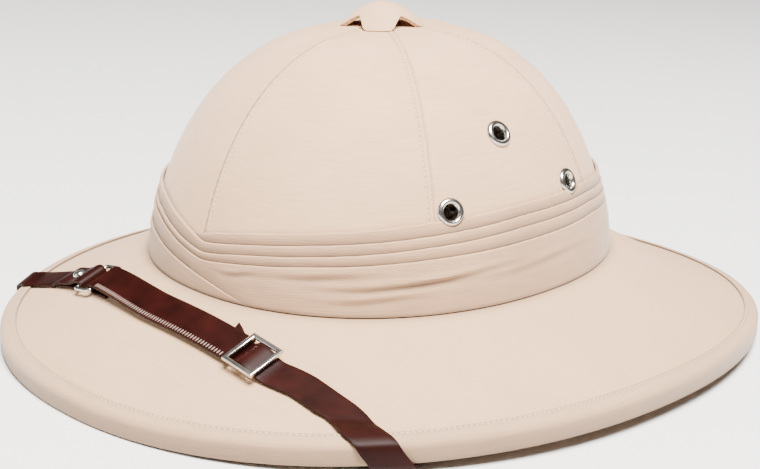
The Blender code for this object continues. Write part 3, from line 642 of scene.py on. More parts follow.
# The pugaree: one length of twill wound round the foot of the crown and laid in narrow pleats, each over
# the one above it. The folds start and end behind each other at the front, a little off the centre.
BAND_WALL = 0.0013
BAND_INSIDE = 0.0005
FOLD_STEP = 0.0009
FOLD_HEIGHTS = (
    # angle, fold 1,  fold 2,  fold 3,  fold 4,  fold 5
    (-3, 0.0231, 0.0231, 0.0180, 0.0150, 0.0083),
    (1, 0.0246, 0.0210, 0.0169, 0.0138, 0.0070),
    (6, 0.0264, 0.0221, 0.0180, 0.0146, 0.0053),
    (12, 0.0282, 0.0237, 0.0196, 0.0159, 0.0027),
    (18, 0.0297, 0.0251, 0.0210, 0.0171, 0.0),
    (33, 0.0325, 0.0278, 0.0235, 0.0196, 0.0),
    (59, 0.0359, 0.0308, 0.0266, 0.0221, 0.0),
    (83, 0.0374, 0.0330, 0.0285, 0.0231, 0.0),
    (112, 0.0369, 0.0326, 0.0285, 0.0236, 0.0),
    (130, 0.0345, 0.0298, 0.0256, 0.0210, 0.0),
    (180, 0.0335, 0.0290, 0.0248, 0.0203, 0.0),
    (270, 0.0345, 0.0298, 0.0256, 0.0200, 0.0),
    (312, 0.0338, 0.0286, 0.0252, 0.0168, 0.0),
    (329, 0.0328, 0.0268, 0.0236, 0.0150, 0.0),
    (338, 0.0312, 0.0249, 0.0218, 0.0135, 0.0),
    (345, 0.0285, 0.0224, 0.0193, 0.0115, 0.0),
    (351, 0.0260, 0.0199, 0.0169, 0.0100, 0.0),
    (357, 0.0231, 0.0180, 0.0150, 0.0083, 0.0),
)
BAND_START = -3.0
FOLD_OPENS_OVER = 6.0
FOLD_CLOSES_FROM = 8.0
FOLD_CLOSES_OVER = 11.0
BAND_COLUMNS = 360
FOLD_PARTS = (5, 5, 5, 26, 10)
CREASE_SHADE = 500
FOOT_SHADE = 0.7
FOOT_SHADE_HEIGHT = 0.0011
CREASES = (
    # angle, height, length, half height, depth of a soft crease in the plain part of the band
    (34, 0.0150, 16, 0.0016, 0.00075),
    (52, 0.0118, 20, 0.0014, 0.00095),
    (66, 0.0142, 18, 0.0013, 0.00070),
    (47, 0.0065, 14, 0.0015, 0.00055),
    (88, 0.0128, 22, 0.0015, 0.00045),
    (14, 0.0120, 7, 0.0012, 0.00055),
    (140, 0.0120, 26, 0.0016, 0.00035),
    (205, 0.0105, 28, 0.0018, 0.00040),
    (262, 0.0132, 24, 0.0015, 0.00035),
    (318, 0.0100, 20, 0.0015, 0.00040),
)


def fold_line(degrees):
    """Heights of the folds by straight runs between the rows of the table, on this winding or the next."""
    if degrees < BAND_START:
        return [FOLD_HEIGHTS[0][1]] + fold_line(360 + degrees)[:-1]
    if degrees > BAND_START + 360:
        return fold_line(degrees - 360)[1:] + [0.0]
    for row, after in zip(FOLD_HEIGHTS, FOLD_HEIGHTS[1:]):
        if degrees <= after[0]:
            share = (degrees - row[0]) / (after[0] - row[0])
            return [a + (b - a) * share for a, b in zip(row[1:], after[1:])]


def fold_heights(degrees):
    """The same, with each bend eased as folded cloth eases it."""
    near = [fold_line(degrees + away) for away in (-1.6, -0.8, 0.0, 0.8, 1.6)]
    return [sum(heights) / len(near) for heights in zip(*near)]


def ramp_between(value, start, end):
    return min(1.0, max(0.0, (value - start) / (end - start)))


def crease(degrees, height):
    """Depth of the soft creases at a place on the band."""
    depth = 0.0
    for middle, level, length, half_height, deep in CREASES:
        along = (degrees - middle) / length
        up = (height - level - 0.0012 * math.sin(along * 2.2)) / half_height
        depth += deep * math.exp(-along * along * 2) * (math.exp(-up * up) - 0.6 * math.exp(-(up - 1.5) ** 2))
    return depth


def band_section(turn):
    angle = turn + math.radians(BAND_START)
    degrees = math.degrees(angle)
    folds = fold_heights(degrees)
    opened = ramp_between(degrees, BAND_START, BAND_START + FOLD_OPENS_OVER)
    closed = 1 - ramp_between(degrees, FOLD_CLOSES_FROM, FOLD_CLOSES_FROM + FOLD_CLOSES_OVER)
    outside = BAND_INSIDE + BAND_WALL
    tucked = outside - FOLD_STEP
    foot = 2 * LAP
    arc = angle * 0.1
    rows = []
    for number, height in enumerate(folds):
        upper, lower = tucked, outside
        if number == 0:
            upper, lower = BAND_INSIDE, BAND_INSIDE + BAND_WALL * opened
        elif number == 1:
            upper = BAND_INSIDE + (tucked - BAND_INSIDE) * opened
        elif number == 4:
            upper = outside - FOLD_STEP * closed
        height = max(height, foot)
        step = lower - upper
        under = max(folds[number + 1], foot) if number < 4 else foot
        below = tucked
        if number == 0:
            below = BAND_INSIDE + (tucked - BAND_INSIDE) * opened
        elif number == 3:
            below = outside - FOLD_STEP * closed
        elif number == 4:
            below = outside
        roll = min(0.0005, 0.25 * (height - under), height - foot)
        lip = 0.35 * step
        proud = min(1.0, step / FOLD_STEP)
        # Painted light along each fold: painted shade in the crease under the lip, and a painted highlight on
        # the lip's edge.
        rows += [
            (height - 0.4 * lip, upper, 0.9 * proud),
            (height + 0.3 * lip, upper + 0.25 * step, 0.4 * proud),
            (height + 0.6 * lip, upper + 0.6 * step, -0.45 * proud),
            (height + 0.2 * lip, upper + 0.9 * step, -0.6 * proud),
            (height - roll * 0.5, lower + 0.04 * step, -0.45 * proud),
            (height - roll, lower, 0.0),
        ]
        # Painted shade grows down each pleat towards the fold below it.
        parts = FOLD_PARTS[number]
        for part in range(1, parts):
            share = part / parts
            drop = height - roll + (under + roll * 0.3 - height + roll) * share
            rows.append((drop, lower + (below - lower) * share * share, 0.42 * share if number < 3 else 0.1))
    # Painted shade at the band's foot.
    rows += [(foot, outside, 0.6), (foot, BAND_INSIDE, 0.8)]
    rows += [(share * folds[0], BAND_INSIDE, 0.0) for share in (0.33, 0.67)]
    placed = []
    for height, out, shade in rows:
        height = max(height, foot)
        if out > BAND_INSIDE + 0.0004 and height > foot:
            dent = crease(degrees, height) + 0.00010 * waver(crown_at(angle, height), 0.008, 3.0)
            out -= dent
            # Painted shade in each crease, by its depth.
            shade += max(0.0, dent) * CREASE_SHADE
        # Painted shade near the foot, where the band meets the brim.
        shade = max(shade, FOOT_SHADE * math.exp(-((height - foot) / FOOT_SHADE_HEIGHT) ** 2))
        placed.append((crown_at(angle, height, max(out, BAND_INSIDE)), (arc, height), shade))
    return placed


# The band's twill is set darker than the crown's: painted shade for the band at the foot of the crown.
band_twill = twill("band_twill", (0.50, 0.305, 0.175), (0.32, 0.19, 0.105), math.radians(20))
band = hoop(BAND_COLUMNS, band_section)
pugaree_band = finished(band, "pugaree_band", band_twill, ["pugaree"])


# The vent cap: a small pressed dome covered in twill. Its edge is cut into four petals that stand on the
# crown round the vent, so that air passes between them.
CAP_RADIUS = 0.0182
CAP_HEIGHT = 0.0099
CAP_WALL = 0.0015
CAP_PETAL_HALF = math.radians(20.5)
CAP_NOTCH_TOP = 0.0126
CAP_TURN = math.radians(-5)
CAP_SHIFT = Vector((-0.0009, -0.0009))
CAP_COLUMNS = 192
CAP_ROWS = 22

cap_rise = (1 - (CAP_RADIUS / CROWN_HALF_WIDTH) ** CROWN_SIDE_POWER) ** (1 / CROWN_TOP_POWER)
cap_foot = crown_point(0.0, cap_rise).z


def cap_reach(angle):
    """How far out the cap's edge lies: full at a petal, drawn in where two petals part."""
    from_petal = abs(angle % (math.pi / 2) - math.pi / 4)
    from_notch = math.pi / 4 - from_petal
    if from_petal <= CAP_PETAL_HALF:
        corner = max(0.0, from_petal / CAP_PETAL_HALF - 0.8) / 0.2
        return CAP_RADIUS * (1 - 0.035 * corner * corner)
    corner_x, corner_y = CAP_RADIUS * math.cos(CAP_PETAL_HALF), CAP_RADIUS * math.sin(CAP_PETAL_HALF)
    notch_x = notch_y = CAP_NOTCH_TOP / math.sqrt(2)
    x, y = notch_x - corner_x, notch_y - corner_y
    turn = math.pi / 4 - from_notch
    reach = (corner_x * y - corner_y * x) / (math.cos(turn) * y - math.sin(turn) * x)
    return min(reach, CAP_RADIUS * 0.965)


def cap_height(radius):
    share = radius / CAP_RADIUS
    return CAP_HEIGHT * (1 - share ** 1.9)


bm = bmesh.new()
spots = {}
for vert, column, row in laid_grid(bm, CAP_COLUMNS, CAP_ROWS):
    angle = math.tau * column / CAP_COLUMNS + math.pi / 4
    radius = cap_reach(angle) * row / CAP_ROWS
    plan = Vector((math.cos(angle + CAP_TURN), math.sin(angle + CAP_TURN))) * radius + CAP_SHIFT
    vert.co = (*plan, cap_height(radius) + cap_foot + 2 * LAP)
    spots[vert] = plan
weave_map(bm, spots)
closed_up(bm)
bmesh.ops.solidify(bm, geom=bm.faces[:], thickness=CAP_WALL)
cap_twill = twill("cap_twill", (0.58, 0.36, 0.21), (0.42, 0.255, 0.145), math.radians(-12))
finished(bm, "vent_cap_cover", cap_twill, ["vent_cap"])


# The eyelets: three turned nickel rings a side, pressed through drilled holes in the side gores. Each is
# rolled over a washer inside the helmet, and they let air through.
EYELET_PLACES = (
    # angle round the helmet, height over the crown's foot
    (math.radians(64.5), 0.0387),
    (math.radians(84.0), 0.0637),
    (math.radians(104.8), 0.0396),
)
EYELET_HOLE = 0.0028
EYELET_SLEEVE = 0.0034
EYELET_FLANGE = 0.0058
EYELET_OVER_BAND = 0.045


def nickel(name, tone, roughness):
    """Polished nickel plate, dulled unevenly by handling and marked by fine scratches."""
    material, tree, shader = painted(name)
    place = node(tree, "TexCoord").outputs["Object"]
    handling = node(tree, "TexNoise", Vector=place, Scale=420, Detail=4).outputs["Fac"]
    dulled = node(tree, "MapRange", Value=handling, To_Min=roughness * 0.7, To_Max=roughness * 1.5)
    scratches = node(tree, "TexNoise", Vector=place, Scale=2600).outputs["Fac"]
    bump = node(tree, "Bump", Height=scratches, Strength=0.15, Distance=0.00003)
    wired(tree, shader, Base_Color=(*tone, 1), Metallic=1, Roughness=dulled.outputs["Result"],
          Normal=bump.outputs["Normal"])
    return material


def turned(profile, steps, place):
    """A turned skin: its (radius, height) profile runs down the outer side and is spun round Z."""
    bm = bmesh.new()
    verts = [bm.verts.new((radius, 0, height)) for radius, height in profile]
    pairs = list(zip(verts, verts[1:]))
    if profile[0][0] > 0:
        pairs.append((verts[-1], verts[0]))
    edges = [bm.edges.new(pair) for pair in pairs]
    bmesh.ops.spin(bm, geom=verts + edges, axis=(0, 0, 1), cent=(0, 0, 0), angle=math.tau, steps=steps,
                   use_merge=True)
    bmesh.ops.remove_doubles(bm, verts=bm.verts[:], dist=1e-6)
    bmesh.ops.recalc_face_normals(bm, faces=bm.faces[:])
    bmesh.ops.transform(bm, matrix=place, verts=bm.verts[:])
    return bm


# Set darker than the strap's nickel: painted shade on the eyelets' rings.
eyelet_nickel = nickel("eyelet_nickel", (0.52, 0.49, 0.45), 0.2)
inside_end = -CROWN_WALL - 0.0007
eyelet_profile = (
    (EYELET_HOLE, inside_end), (EYELET_HOLE, -0.0012), (EYELET_HOLE + 0.0001, -0.0003),
    (EYELET_HOLE + 0.0004, 0.0006), (EYELET_HOLE + 0.0009, 0.0012), (EYELET_HOLE + 0.0015, 0.00145),
    (EYELET_FLANGE - 0.0010, 0.0013), (EYELET_FLANGE - 0.0005, 0.0010), (EYELET_FLANGE - 0.0001, 0.0005),
    (EYELET_FLANGE, 0.0001), (EYELET_FLANGE - 0.0002, -0.0001), (EYELET_SLEEVE, -0.0001),
    (EYELET_SLEEVE, inside_end + 0.0004), (EYELET_SLEEVE + 0.0004, inside_end),
    (EYELET_SLEEVE + 0.0002, inside_end - 0.0003), (EYELET_SLEEVE - 0.0003, inside_end - 0.0002),
)
washer_profile = (
    (EYELET_SLEEVE + 0.0001, -CROWN_WALL - 0.0001), (EYELET_SLEEVE + 0.0001, -CROWN_WALL - 0.0006),
    (EYELET_FLANGE - 0.0006, -CROWN_WALL - 0.0008), (EYELET_FLANGE - 0.0002, -CROWN_WALL - 0.0005),
    (EYELET_FLANGE - 0.0002, -CROWN_WALL - 0.0001),
)


def bored(pierced, place, radius):
    """Bores a round hole straight through a finished piece."""
    bm = bmesh.new()
    bmesh.ops.create_cone(bm, cap_ends=True, segments=48, radius1=radius, radius2=radius, depth=0.02)
    bmesh.ops.transform(bm, matrix=standing @ place, verts=bm.verts[:])
    drill_mesh = bpy.data.meshes.new("drill")
    bm.to_mesh(drill_mesh)
    bm.free()
    drill = bpy.data.objects.new("drill", drill_mesh)
    bpy.context.scene.collection.objects.link(drill)
    hole = pierced.modifiers.new("hole", "BOOLEAN")
    hole.operation = "DIFFERENCE"
    hole.object = drill
    bpy.context.view_layer.update()
    drilled = bpy.data.meshes.new_from_object(pierced.evaluated_get(bpy.context.evaluated_depsgraph_get()))
    pierced.modifiers.clear()
    whole = pierced.data
    pierced.data = drilled
    bpy.data.meshes.remove(whole)
    bpy.data.objects.remove(drill)
    bpy.data.meshes.remove(drill_mesh)


for side, pierced in ((1, gores[1]), (-1, gores[4])):
    for number, (angle, height) in enumerate(EYELET_PLACES, start=1 if side > 0 else 4):
        place = crown_frame(side * angle, height)
        ring = turned(eyelet_profile, 48, place)
        joined(ring, turned(washer_profile, 32, place))
        finished(ring, f"eyelet_ring_{number}", eyelet_nickel, [f"eyelet_{number}"], 50)
        bored(pierced, place, EYELET_SLEEVE + 0.0001)
        if height < EYELET_OVER_BAND:
            bored(pugaree_band, place, EYELET_FLANGE + 0.0002)


# The chin strap: three lengths of dark red-brown leather, cut flat and left raw at the edges. It is worn
# over the front of the brim, and both its ends pass round the rim and are riveted beneath the brim.
STRAP_MIDDLE_Y = -0.1225
STRAP_END_Y = -0.118
STRAP_END_X = 0.110
STRAP_REST = 0.0004
STRAP_BEARING = 0.0064
LEATHER = 0.0013
WRAP_LEAD = 0.0105
SHEAR_RUN = 0.030
UPPER_WIDTH = 0.0148
LOWER_WIDTH = 0.0130
TAB_WIDTH = 0.0140
ANCHOR_ANGLE = math.radians(80)
ANCHOR_INSET = 0.012
ANCHOR_TAIL = 0.006
TAB_FOLD_X = -0.0620
TAB_RETURN = 0.019
UPPER_FOLD_X = -0.0505
UPPER_RETURN = 0.012
RING_WIRE = 0.0018
RING_INSIDE = 0.0162
BUCKLE_X = 0.0540
BUCKLE_LENGTH = 0.0168
BUCKLE_WIDTH = 0.0172
BUCKLE_BAR = 0.0019
BUCKLE_PLATE = 0.0016
BUCKLE_CENTRE_BAR = 0.0016
TAIL_PAST_BUCKLE = 0.008
TAIL_SLANT = 0.0045
TAIL_SHIFT = 0.003
LEATHER_ROUNDING = 0.00035
EASED_PARTS = 4
SLANT_COLUMNS = 3


def brim_spot(x, y):
    """The angle and share of the brim that lie under a plan point, found by halving."""
    guess = math.atan2(x, -y)
    low, high = guess - 0.4, guess + 0.4
    target = Vector((x, y))
    for _ in range(40):
        middle = (low + high) / 2
        seat, rim = seat_plan(middle), rim_plan(middle)
        if (rim - seat).cross(target - seat) > 0:
            low = middle
        else:
            high = middle
    return middle, (target - seat).dot(rim - seat) / (rim - seat).length_squared


def brim_top(x, y):
    return brim_point(*brim_spot(x, y))


def bearing_top(x, y):
    """The top of the brim or, near the rim, of its binding."""
    angle, share = brim_spot(x, y)
    inset = (1 - share) * (rim_plan(angle) - seat_plan(angle)).length
    climb = ramp_between(BINDING_TOP_WIDTH + 0.0015 - inset, 0, 0.0015)
    return brim_point(angle, share) + Vector((0, 0, (BINDING_WALL + LAP) * climb))


def brim_normal(x, y):
    step = 0.001
    here = brim_top(x, y)
    return (brim_top(x + step, y) - here).cross(brim_top(x, y + step) - here).normalized()


def eased_step(value):
    value = ramp_between(value, 0, 1)
    return value * value * (3 - 2 * value)


def strap_y(x):
    """The strap's line over the brim. It is pulled a little towards the crown at both its ends."""
    right = 0.0048 * eased_step(-x / 0.058) - 0.0024 * eased_step((-x - 0.075) / 0.035)
    left = 0.0026 * eased_step((x - 0.060) / 0.02) * (1 - eased_step((x - 0.096) / 0.018))
    return STRAP_MIDDLE_Y + (STRAP_END_Y - STRAP_MIDDLE_Y) * (x / STRAP_END_X) ** 2 + right + left


def strap_frame(x):
    """A frame on the brim under the strap: X along it, Z away from the brim."""
    step = 0.001
    here = brim_top(x, strap_y(x))
    up = brim_normal(x, strap_y(x))
    along = brim_top(x + step, strap_y(x + step)) - here
    along = (along - up * along.dot(up)).normalized()
    return Matrix.Translation(here) @ Matrix((along, up.cross(along), up)).transposed().to_4x4()


def on_brim(path):
    """Stations of a strap from (x, height, heading, shear) rows: point, across and facing directions."""
    stations = []
    for x, height, heading, shear in path:
        here = strap_frame(x)
        along, across, up = (here.col[i].to_3d() for i in range(3))
        spread = across + along * shear
        edges = [here.translation + spread * reach for reach in (-STRAP_BEARING, 0, STRAP_BEARING)]
        lift = max((bearing_top(edge.x, edge.y) - edge).dot(up) for edge in edges)
        turn = math.radians(heading)
        facing = -math.sin(turn) * along + math.cos(turn) * up
        stations.append((here.translation + up * (height + lift), spread, facing))
    return stations


def bend(x, height, radius, start, end):
    """Rows of a strap's path round a bar, its inner face a radius from the middle of the bar."""
    rows = []
    for step in range(7):
        heading = start + (end - start) * step / 6
        turn = math.radians(heading)
        rows.append((x - math.sin(turn) * radius, height + math.cos(turn) * radius, heading, 0))
    return rows


def settle(start, end, high, low, steps=3):
    """Rows that let a strap down, or up, smoothly between two heights."""
    rows = []
    for step in range(1, steps + 1):
        share = step / steps
        ease = share * share * (3 - 2 * share)
        rows.append((start + (end - start) * share, high + (low - high) * ease, 0, 0))
    return rows


def rim_crossing(side):
    """Where the strap meets the rim: its x, its angle and the rim's tangent and outward directions."""
    near, far = 0.0, RIM_HALF_WIDTH
    for _ in range(40):
        middle = (near + far) / 2
        if brim_spot(side * middle, strap_y(middle))[1] < 1:
            near = middle
        else:
            far = middle
    angle, _ = brim_spot(side * near, strap_y(near))
    step = 0.01
    here, there = rim_plan(angle), rim_plan(angle + step)
    rise = rim_bottom(angle + step) - rim_bottom(angle)
    tangent = Vector((there.x - here.x, there.y - here.y, rise)).normalized() * side
    return side * near, angle, tangent, Vector((tangent.y, -tangent.x, 0)).normalized() * side


def approach(side, start):
    """Rows from a point on the brim up onto the binding, turning slowly to lie along the rim."""
    crossing, _, tangent, _ = rim_crossing(side)
    rows = []
    for step in range(10):
        share = step / 9
        x = start + (crossing - side * WRAP_LEAD - start) * share
        shear = tangent.x / tangent.y * ramp_between(share, 0, 0.75)
        rows.append((x, STRAP_REST, 0, shear))
    return rows


def round_rim(side):
    """Stations over the rim's edge. Their rows lie along the rim, which the strap crosses at a slant."""
    _, angle, tangent, outward = rim_crossing(side)
    rim = rim_plan(angle)
    drift = side * tangent.x / (side * outward.x)
    low = rim_bottom(angle)
    inner, outer = brim_point(angle, 0.9), brim_point(angle, 1.0)
    fall = (inner.z - outer.z) / (inner.xy - outer.xy).length
    top = low + RIM_EDGE + STRAP_REST
    under = low - STRAP_REST
    outline = (
        # out from the rim, height, turn of the face
        (-0.0045, top + 0.0045 * fall, 0),
        (-0.0018, top + 0.0018 * fall, 8),
        (0.0, top - 0.0009, 42),
        (0.0004, top - 0.0026, 80),
        (0.0004, low + 0.0024, 100),
        (0.0002, low + 0.0008, 120),
        (-0.0006, under, 150),
        (-0.0020, under, 178),
        (-0.0036, under + 0.0012 * fall, 195),
    )
    stations = []
    run = 0.0
    previous = outline[0]
    for out, height, degrees in outline:
        run += math.dist((out, height), previous[:2])
        previous = (out, height)
        turn = math.radians(degrees)
        point = Vector((rim.x, rim.y, height)) + outward * out + tangent * drift * (run - 0.0065)
        facing = math.sin(turn) * outward + math.cos(turn) * Vector((0, 0, 1))
        stations.append((point, tangent * math.hypot(1, drift), facing))
    return stations, tangent


def under_brim(side, start, tangent):
    """Stations from under the rim to the rivet under the brim, and a little past it."""
    seat = seat_plan(side * ANCHOR_ANGLE)
    anchor = seat + (rim_plan(side * ANCHOR_ANGLE) - seat).normalized() * (ANCHOR_INSET - CROWN_WALL)
    direction = (anchor - start).normalized()
    length = (anchor - start).length + ANCHOR_TAIL
    stations = []
    for run in (0.0046, 0.0080, 0.012, 0.019, 0.028, 0.040, 0.053, 0.066, 0.078, length):
        plan = start + direction * run
        angle, reach = brim_spot(plan.x, plan.y)
        inset = (1 - reach) * (rim_plan(angle) - seat_plan(angle)).length
        settled = ramp_between(inset - BINDING_UNDER_WIDTH - 5 * LAP, 0, 0.003)
        depth = BRIM_WALL + STRAP_REST + (BINDING_WALL + 3 * LAP) * (1 - settled)
        up = brim_normal(plan.x, plan.y)
        along = Vector((direction.x, direction.y, 0))
        along = (along - up * along.dot(up)).normalized()
        across = up.cross(along) * -side
        shear = tangent.dot(along) / tangent.dot(across) * (1 - ramp_between(run, 0, SHEAR_RUN))
        point = brim_point(angle, reach) - Vector((0, 0, depth))
        stations.append((point, across + along * shear, -up))
    return stations, anchor


def eased(stations, parts):
    """A smooth run of stations through the given ones, with the leather's even curve between them."""
    spans = [max((b[0] - a[0]).length, 1e-6) for a, b in zip(stations, stations[1:])]
    slopes = []
    for index, station in enumerate(stations):
        if index == 0:
            slopes.append([(b - a) / spans[0] for a, b in zip(station, stations[1])])
        elif index == len(stations) - 1:
            slopes.append([(b - a) / spans[-1] for a, b in zip(stations[-2], station)])
        else:
            back, on = spans[index - 1], spans[index]
            slopes.append([
                (here - gone) / back * on / (back + on) + (there - here) / on * back / (back + on)
                for gone, here, there in zip(stations[index - 1], station, stations[index + 1])])
    smooth = []
    for index, span in enumerate(spans):
        ends = list(zip(stations[index], stations[index + 1], slopes[index], slopes[index + 1]))
        for part in range(parts):
            t = part / parts
            smooth.append([
                a * (2 * t ** 3 - 3 * t ** 2 + 1) + b * (3 * t ** 2 - 2 * t ** 3)
                + m * span * (t ** 3 - 2 * t ** 2 + t) + n * span * (t ** 3 - t ** 2)
                for a, b, m, n in ends])
    smooth.append(list(stations[-1]))
    return smooth


def leather(name):
    """Dark red-brown leather with a fine grain, a waxed gloss and a raw cut edge."""
    material, tree, shader = painted(name)
    hide = cloth_place(tree)
    grain = node(tree, "TexVoronoi", Vector=hide, Scale=1900)
    wear = node(tree, "TexNoise", Vector=hide, Scale=90, Detail=6).outputs["Fac"]
    raw = node(tree, "Mix")
    raw.data_type = "RGBA"
    tone = tones(tree, wear, (0.35, (0.008, 0.0008, 0.0004)), (0.7, (0.017, 0.0019, 0.0010)))
    tree.links.new(attribute(tree, "cut_edge"), raw.inputs["Factor"])
    tree.links.new(tone, raw.inputs["A"])
    raw.inputs["B"].default_value = (0.012, 0.002, 0.001, 1)
    gloss = node(tree, "MapRange", Value=wear, To_Min=0.40, To_Max=0.58)
    bump = node(tree, "Bump", Height=grain.outputs["Distance"], Strength=0.25, Distance=0.00006)
    wired(tree, shader, Base_Color=raw.outputs["Result"], Roughness=gloss.outputs["Result"],
          Specular_IOR_Level=0.09, Normal=bump.outputs["Normal"])
    return material


def strap(stations, width, slant=0.0):
    """Flat leather through its stations, its edges softly rounded. The first end may be cut slanted."""
    stations = eased(stations, EASED_PARTS)
    half, soft = width / 2, LEATHER_ROUNDING
    flat = [half - soft - (width - 2 * soft) * step / 8 for step in range(9)]
    rim = [(half - soft * 0.3, soft * 0.3), (half, LEATHER / 2), (half - soft * 0.3, LEATHER - soft * 0.3)]
    outline = [(across, LEATHER, 0) for across in flat]
    outline += [(-across, LEATHER - lift, 1) for across, lift in rim]
    outline += [(-across, 0, 0) for across in flat]
    outline += [(across, lift, 1) for across, lift in rim]
    bm = bmesh.new()
    cut_edge = bm.verts.layers.float.new("cut_edge")
    runs = [0.0]
    for before, after in zip(stations, stations[1:]):
        runs.append(runs[-1] + (after[0] - before[0]).length)
    spots = {}
    for vert, column, row in laid_grid(bm, len(stations) - 1, len(outline)):
        point, across, facing = stations[column]
        aside, lift, raw = outline[row % len(outline)]
        vert.co = point + across * aside + facing.normalized() * lift
        if slant and column < SLANT_COLUMNS:
            outward = (point - stations[column + 1][0]).normalized()
            vert.co += outward * slant * (aside / width + 0.5) * (1 - column / SLANT_COLUMNS)
        vert[cut_edge] = raw
        spots[vert] = (runs[column], aside)
    weave_map(bm, spots)
    bmesh.ops.remove_doubles(bm, verts=bm.verts[:], dist=1e-6)
    bmesh.ops.holes_fill(bm, edges=[edge for edge in bm.edges if edge.is_boundary])
    bmesh.ops.recalc_face_normals(bm, faces=bm.faces[:])
    return bm


ring_radius = RING_WIRE / 2 + LAP
ring_height = STRAP_REST + LEATHER + LAP + RING_WIRE / 2
over_return = STRAP_REST + LEATHER + LAP
plate_bottom = over_return + LEATHER + LAP
over_centre_bar = plate_bottom + 0.0002
upper_end = BUCKLE_X - BUCKLE_LENGTH / 2 + BUCKLE_BAR
tail_end = BUCKLE_X - BUCKLE_LENGTH / 2 - TAIL_PAST_BUCKLE

rows = [
    (TAB_FOLD_X - TAB_RETURN, STRAP_REST + LEATHER, -180, 0),
    (TAB_FOLD_X - TAB_RETURN / 2, STRAP_REST + LEATHER, -180, 0),
]
rows += bend(TAB_FOLD_X, ring_height, ring_radius, -180, 0)
rows += settle(TAB_FOLD_X, TAB_FOLD_X - 0.012, ring_height + ring_radius, over_return)
rows += settle(TAB_FOLD_X - TAB_RETURN - 0.0006, TAB_FOLD_X - TAB_RETURN - 0.006, over_return, STRAP_REST)
rows += approach(-1, TAB_FOLD_X - TAB_RETURN - 0.009)
over_edge, tangent = round_rim(-1)
below, right_anchor = under_brim(-1, over_edge[-1][0].xy, tangent)
strap_leather = leather("strap_leather")
finished(strap(on_brim(rows) + over_edge + below, TAB_WIDTH), "chin_strap_tab", strap_leather,
         ["strap_tab"])

rows = [(UPPER_FOLD_X + UPPER_RETURN, STRAP_REST + LEATHER, 180, 0)]
rows += bend(UPPER_FOLD_X, ring_height, ring_radius, 180, 0)
rows += [(x, height, 0, 0) for x, height in (
    (-0.046, 0.0039), (-0.040, 0.0035), (-0.030, 0.0030), (-0.020, 0.0026), (-0.006, 0.0022), (0.008, 0.0020),
    (0.020, 0.0020))]
rows += [(tail_end, over_return, 0, 0), (tail_end + 0.006, over_return, 0, 0), (upper_end, over_return, 0, 0)]
upper_stations = on_brim(rows)
finished(strap(upper_stations, UPPER_WIDTH), "chin_strap_upper", strap_leather, ["strap_upper"])

rows = [(tail_end, STRAP_REST, 0, 0), (upper_end - 0.002, STRAP_REST, 0, 0)]
rows += settle(upper_end - 0.001, BUCKLE_X - BUCKLE_CENTRE_BAR / 2, STRAP_REST, over_centre_bar, 4)
rows += settle(BUCKLE_X + BUCKLE_CENTRE_BAR / 2, BUCKLE_X + BUCKLE_LENGTH / 2 + 0.002, over_centre_bar,
               STRAP_REST, 4)
rows += approach(1, BUCKLE_X + BUCKLE_LENGTH / 2 + 0.006)
over_edge, tangent = round_rim(1)
below, left_anchor = under_brim(1, over_edge[-1][0].xy, tangent)
brim_run = on_brim(rows)
brim_run[0] = (brim_run[0][0] + brim_run[0][1] * TAIL_SHIFT, *brim_run[0][1:])
finished(strap(brim_run + over_edge + below, LOWER_WIDTH, TAIL_SLANT), "chin_strap_lower", strap_leather,
         ["strap_lower"])


# The overcasting: short, pale cotton stitches laid side by side over the front edge of the upper strap,
# from the ring to the buckle.
OVERCAST_PITCH = 0.0016
OVERCAST_LENGTH = 0.0024
OVERCAST_THREAD = 0.0008

overcast_cotton = cotton_thread("overcast_cotton", 1800, (0.05, 0.022, 0.017), (0.26, 0.17, 0.14), 0.6)

overcast_middle = UPPER_WIDTH / 2 - LEATHER_ROUNDING - OVERCAST_LENGTH / 2
edge_line = [
    point - across * overcast_middle + facing.normalized() * LEATHER
    for point, across, facing in eased(upper_stations, EASED_PARTS)
    if facing.z > 0.8 and UPPER_FOLD_X + 0.003 < point.x < BUCKLE_X - BUCKLE_LENGTH / 2 - OVERCAST_PITCH]
bm = bmesh.new()
for place, along in even_stations(edge_line, OVERCAST_PITCH):
    up = brim_normal(place.x, place.y)
    turn = Matrix((along, up.cross(along), up)).transposed().to_4x4()
    shape = Matrix.Diagonal((OVERCAST_THREAD / 2, OVERCAST_LENGTH / 2, OVERCAST_THREAD / 3, 1))
    few = bmesh.new()
    bmesh.ops.create_uvsphere(
        few, u_segments=8, v_segments=5, radius=1.0, matrix=Matrix.Translation(place) @ turn @ shape)
    joined(bm, few)
finished(bm, "strap_overcasting", overcast_cotton)


# The strap's hardware, all nickel plated. A ring of round wire is held in the folds of the tab and the
# upper strap, a domed stud closes the tab, and a flat buckle with a dropped centre bar joins the straps.
STUD_X = -0.0718
STUD_RADIUS = 0.0027
STUD_HEIGHT = 0.0017
RIVET_RADIUS = 0.0032
RIVET_HEAD = 0.0012
RING_CORNER = 0.0015
RING_SIDES = 14
CENTRE_BAR_DEPTH = 0.0011

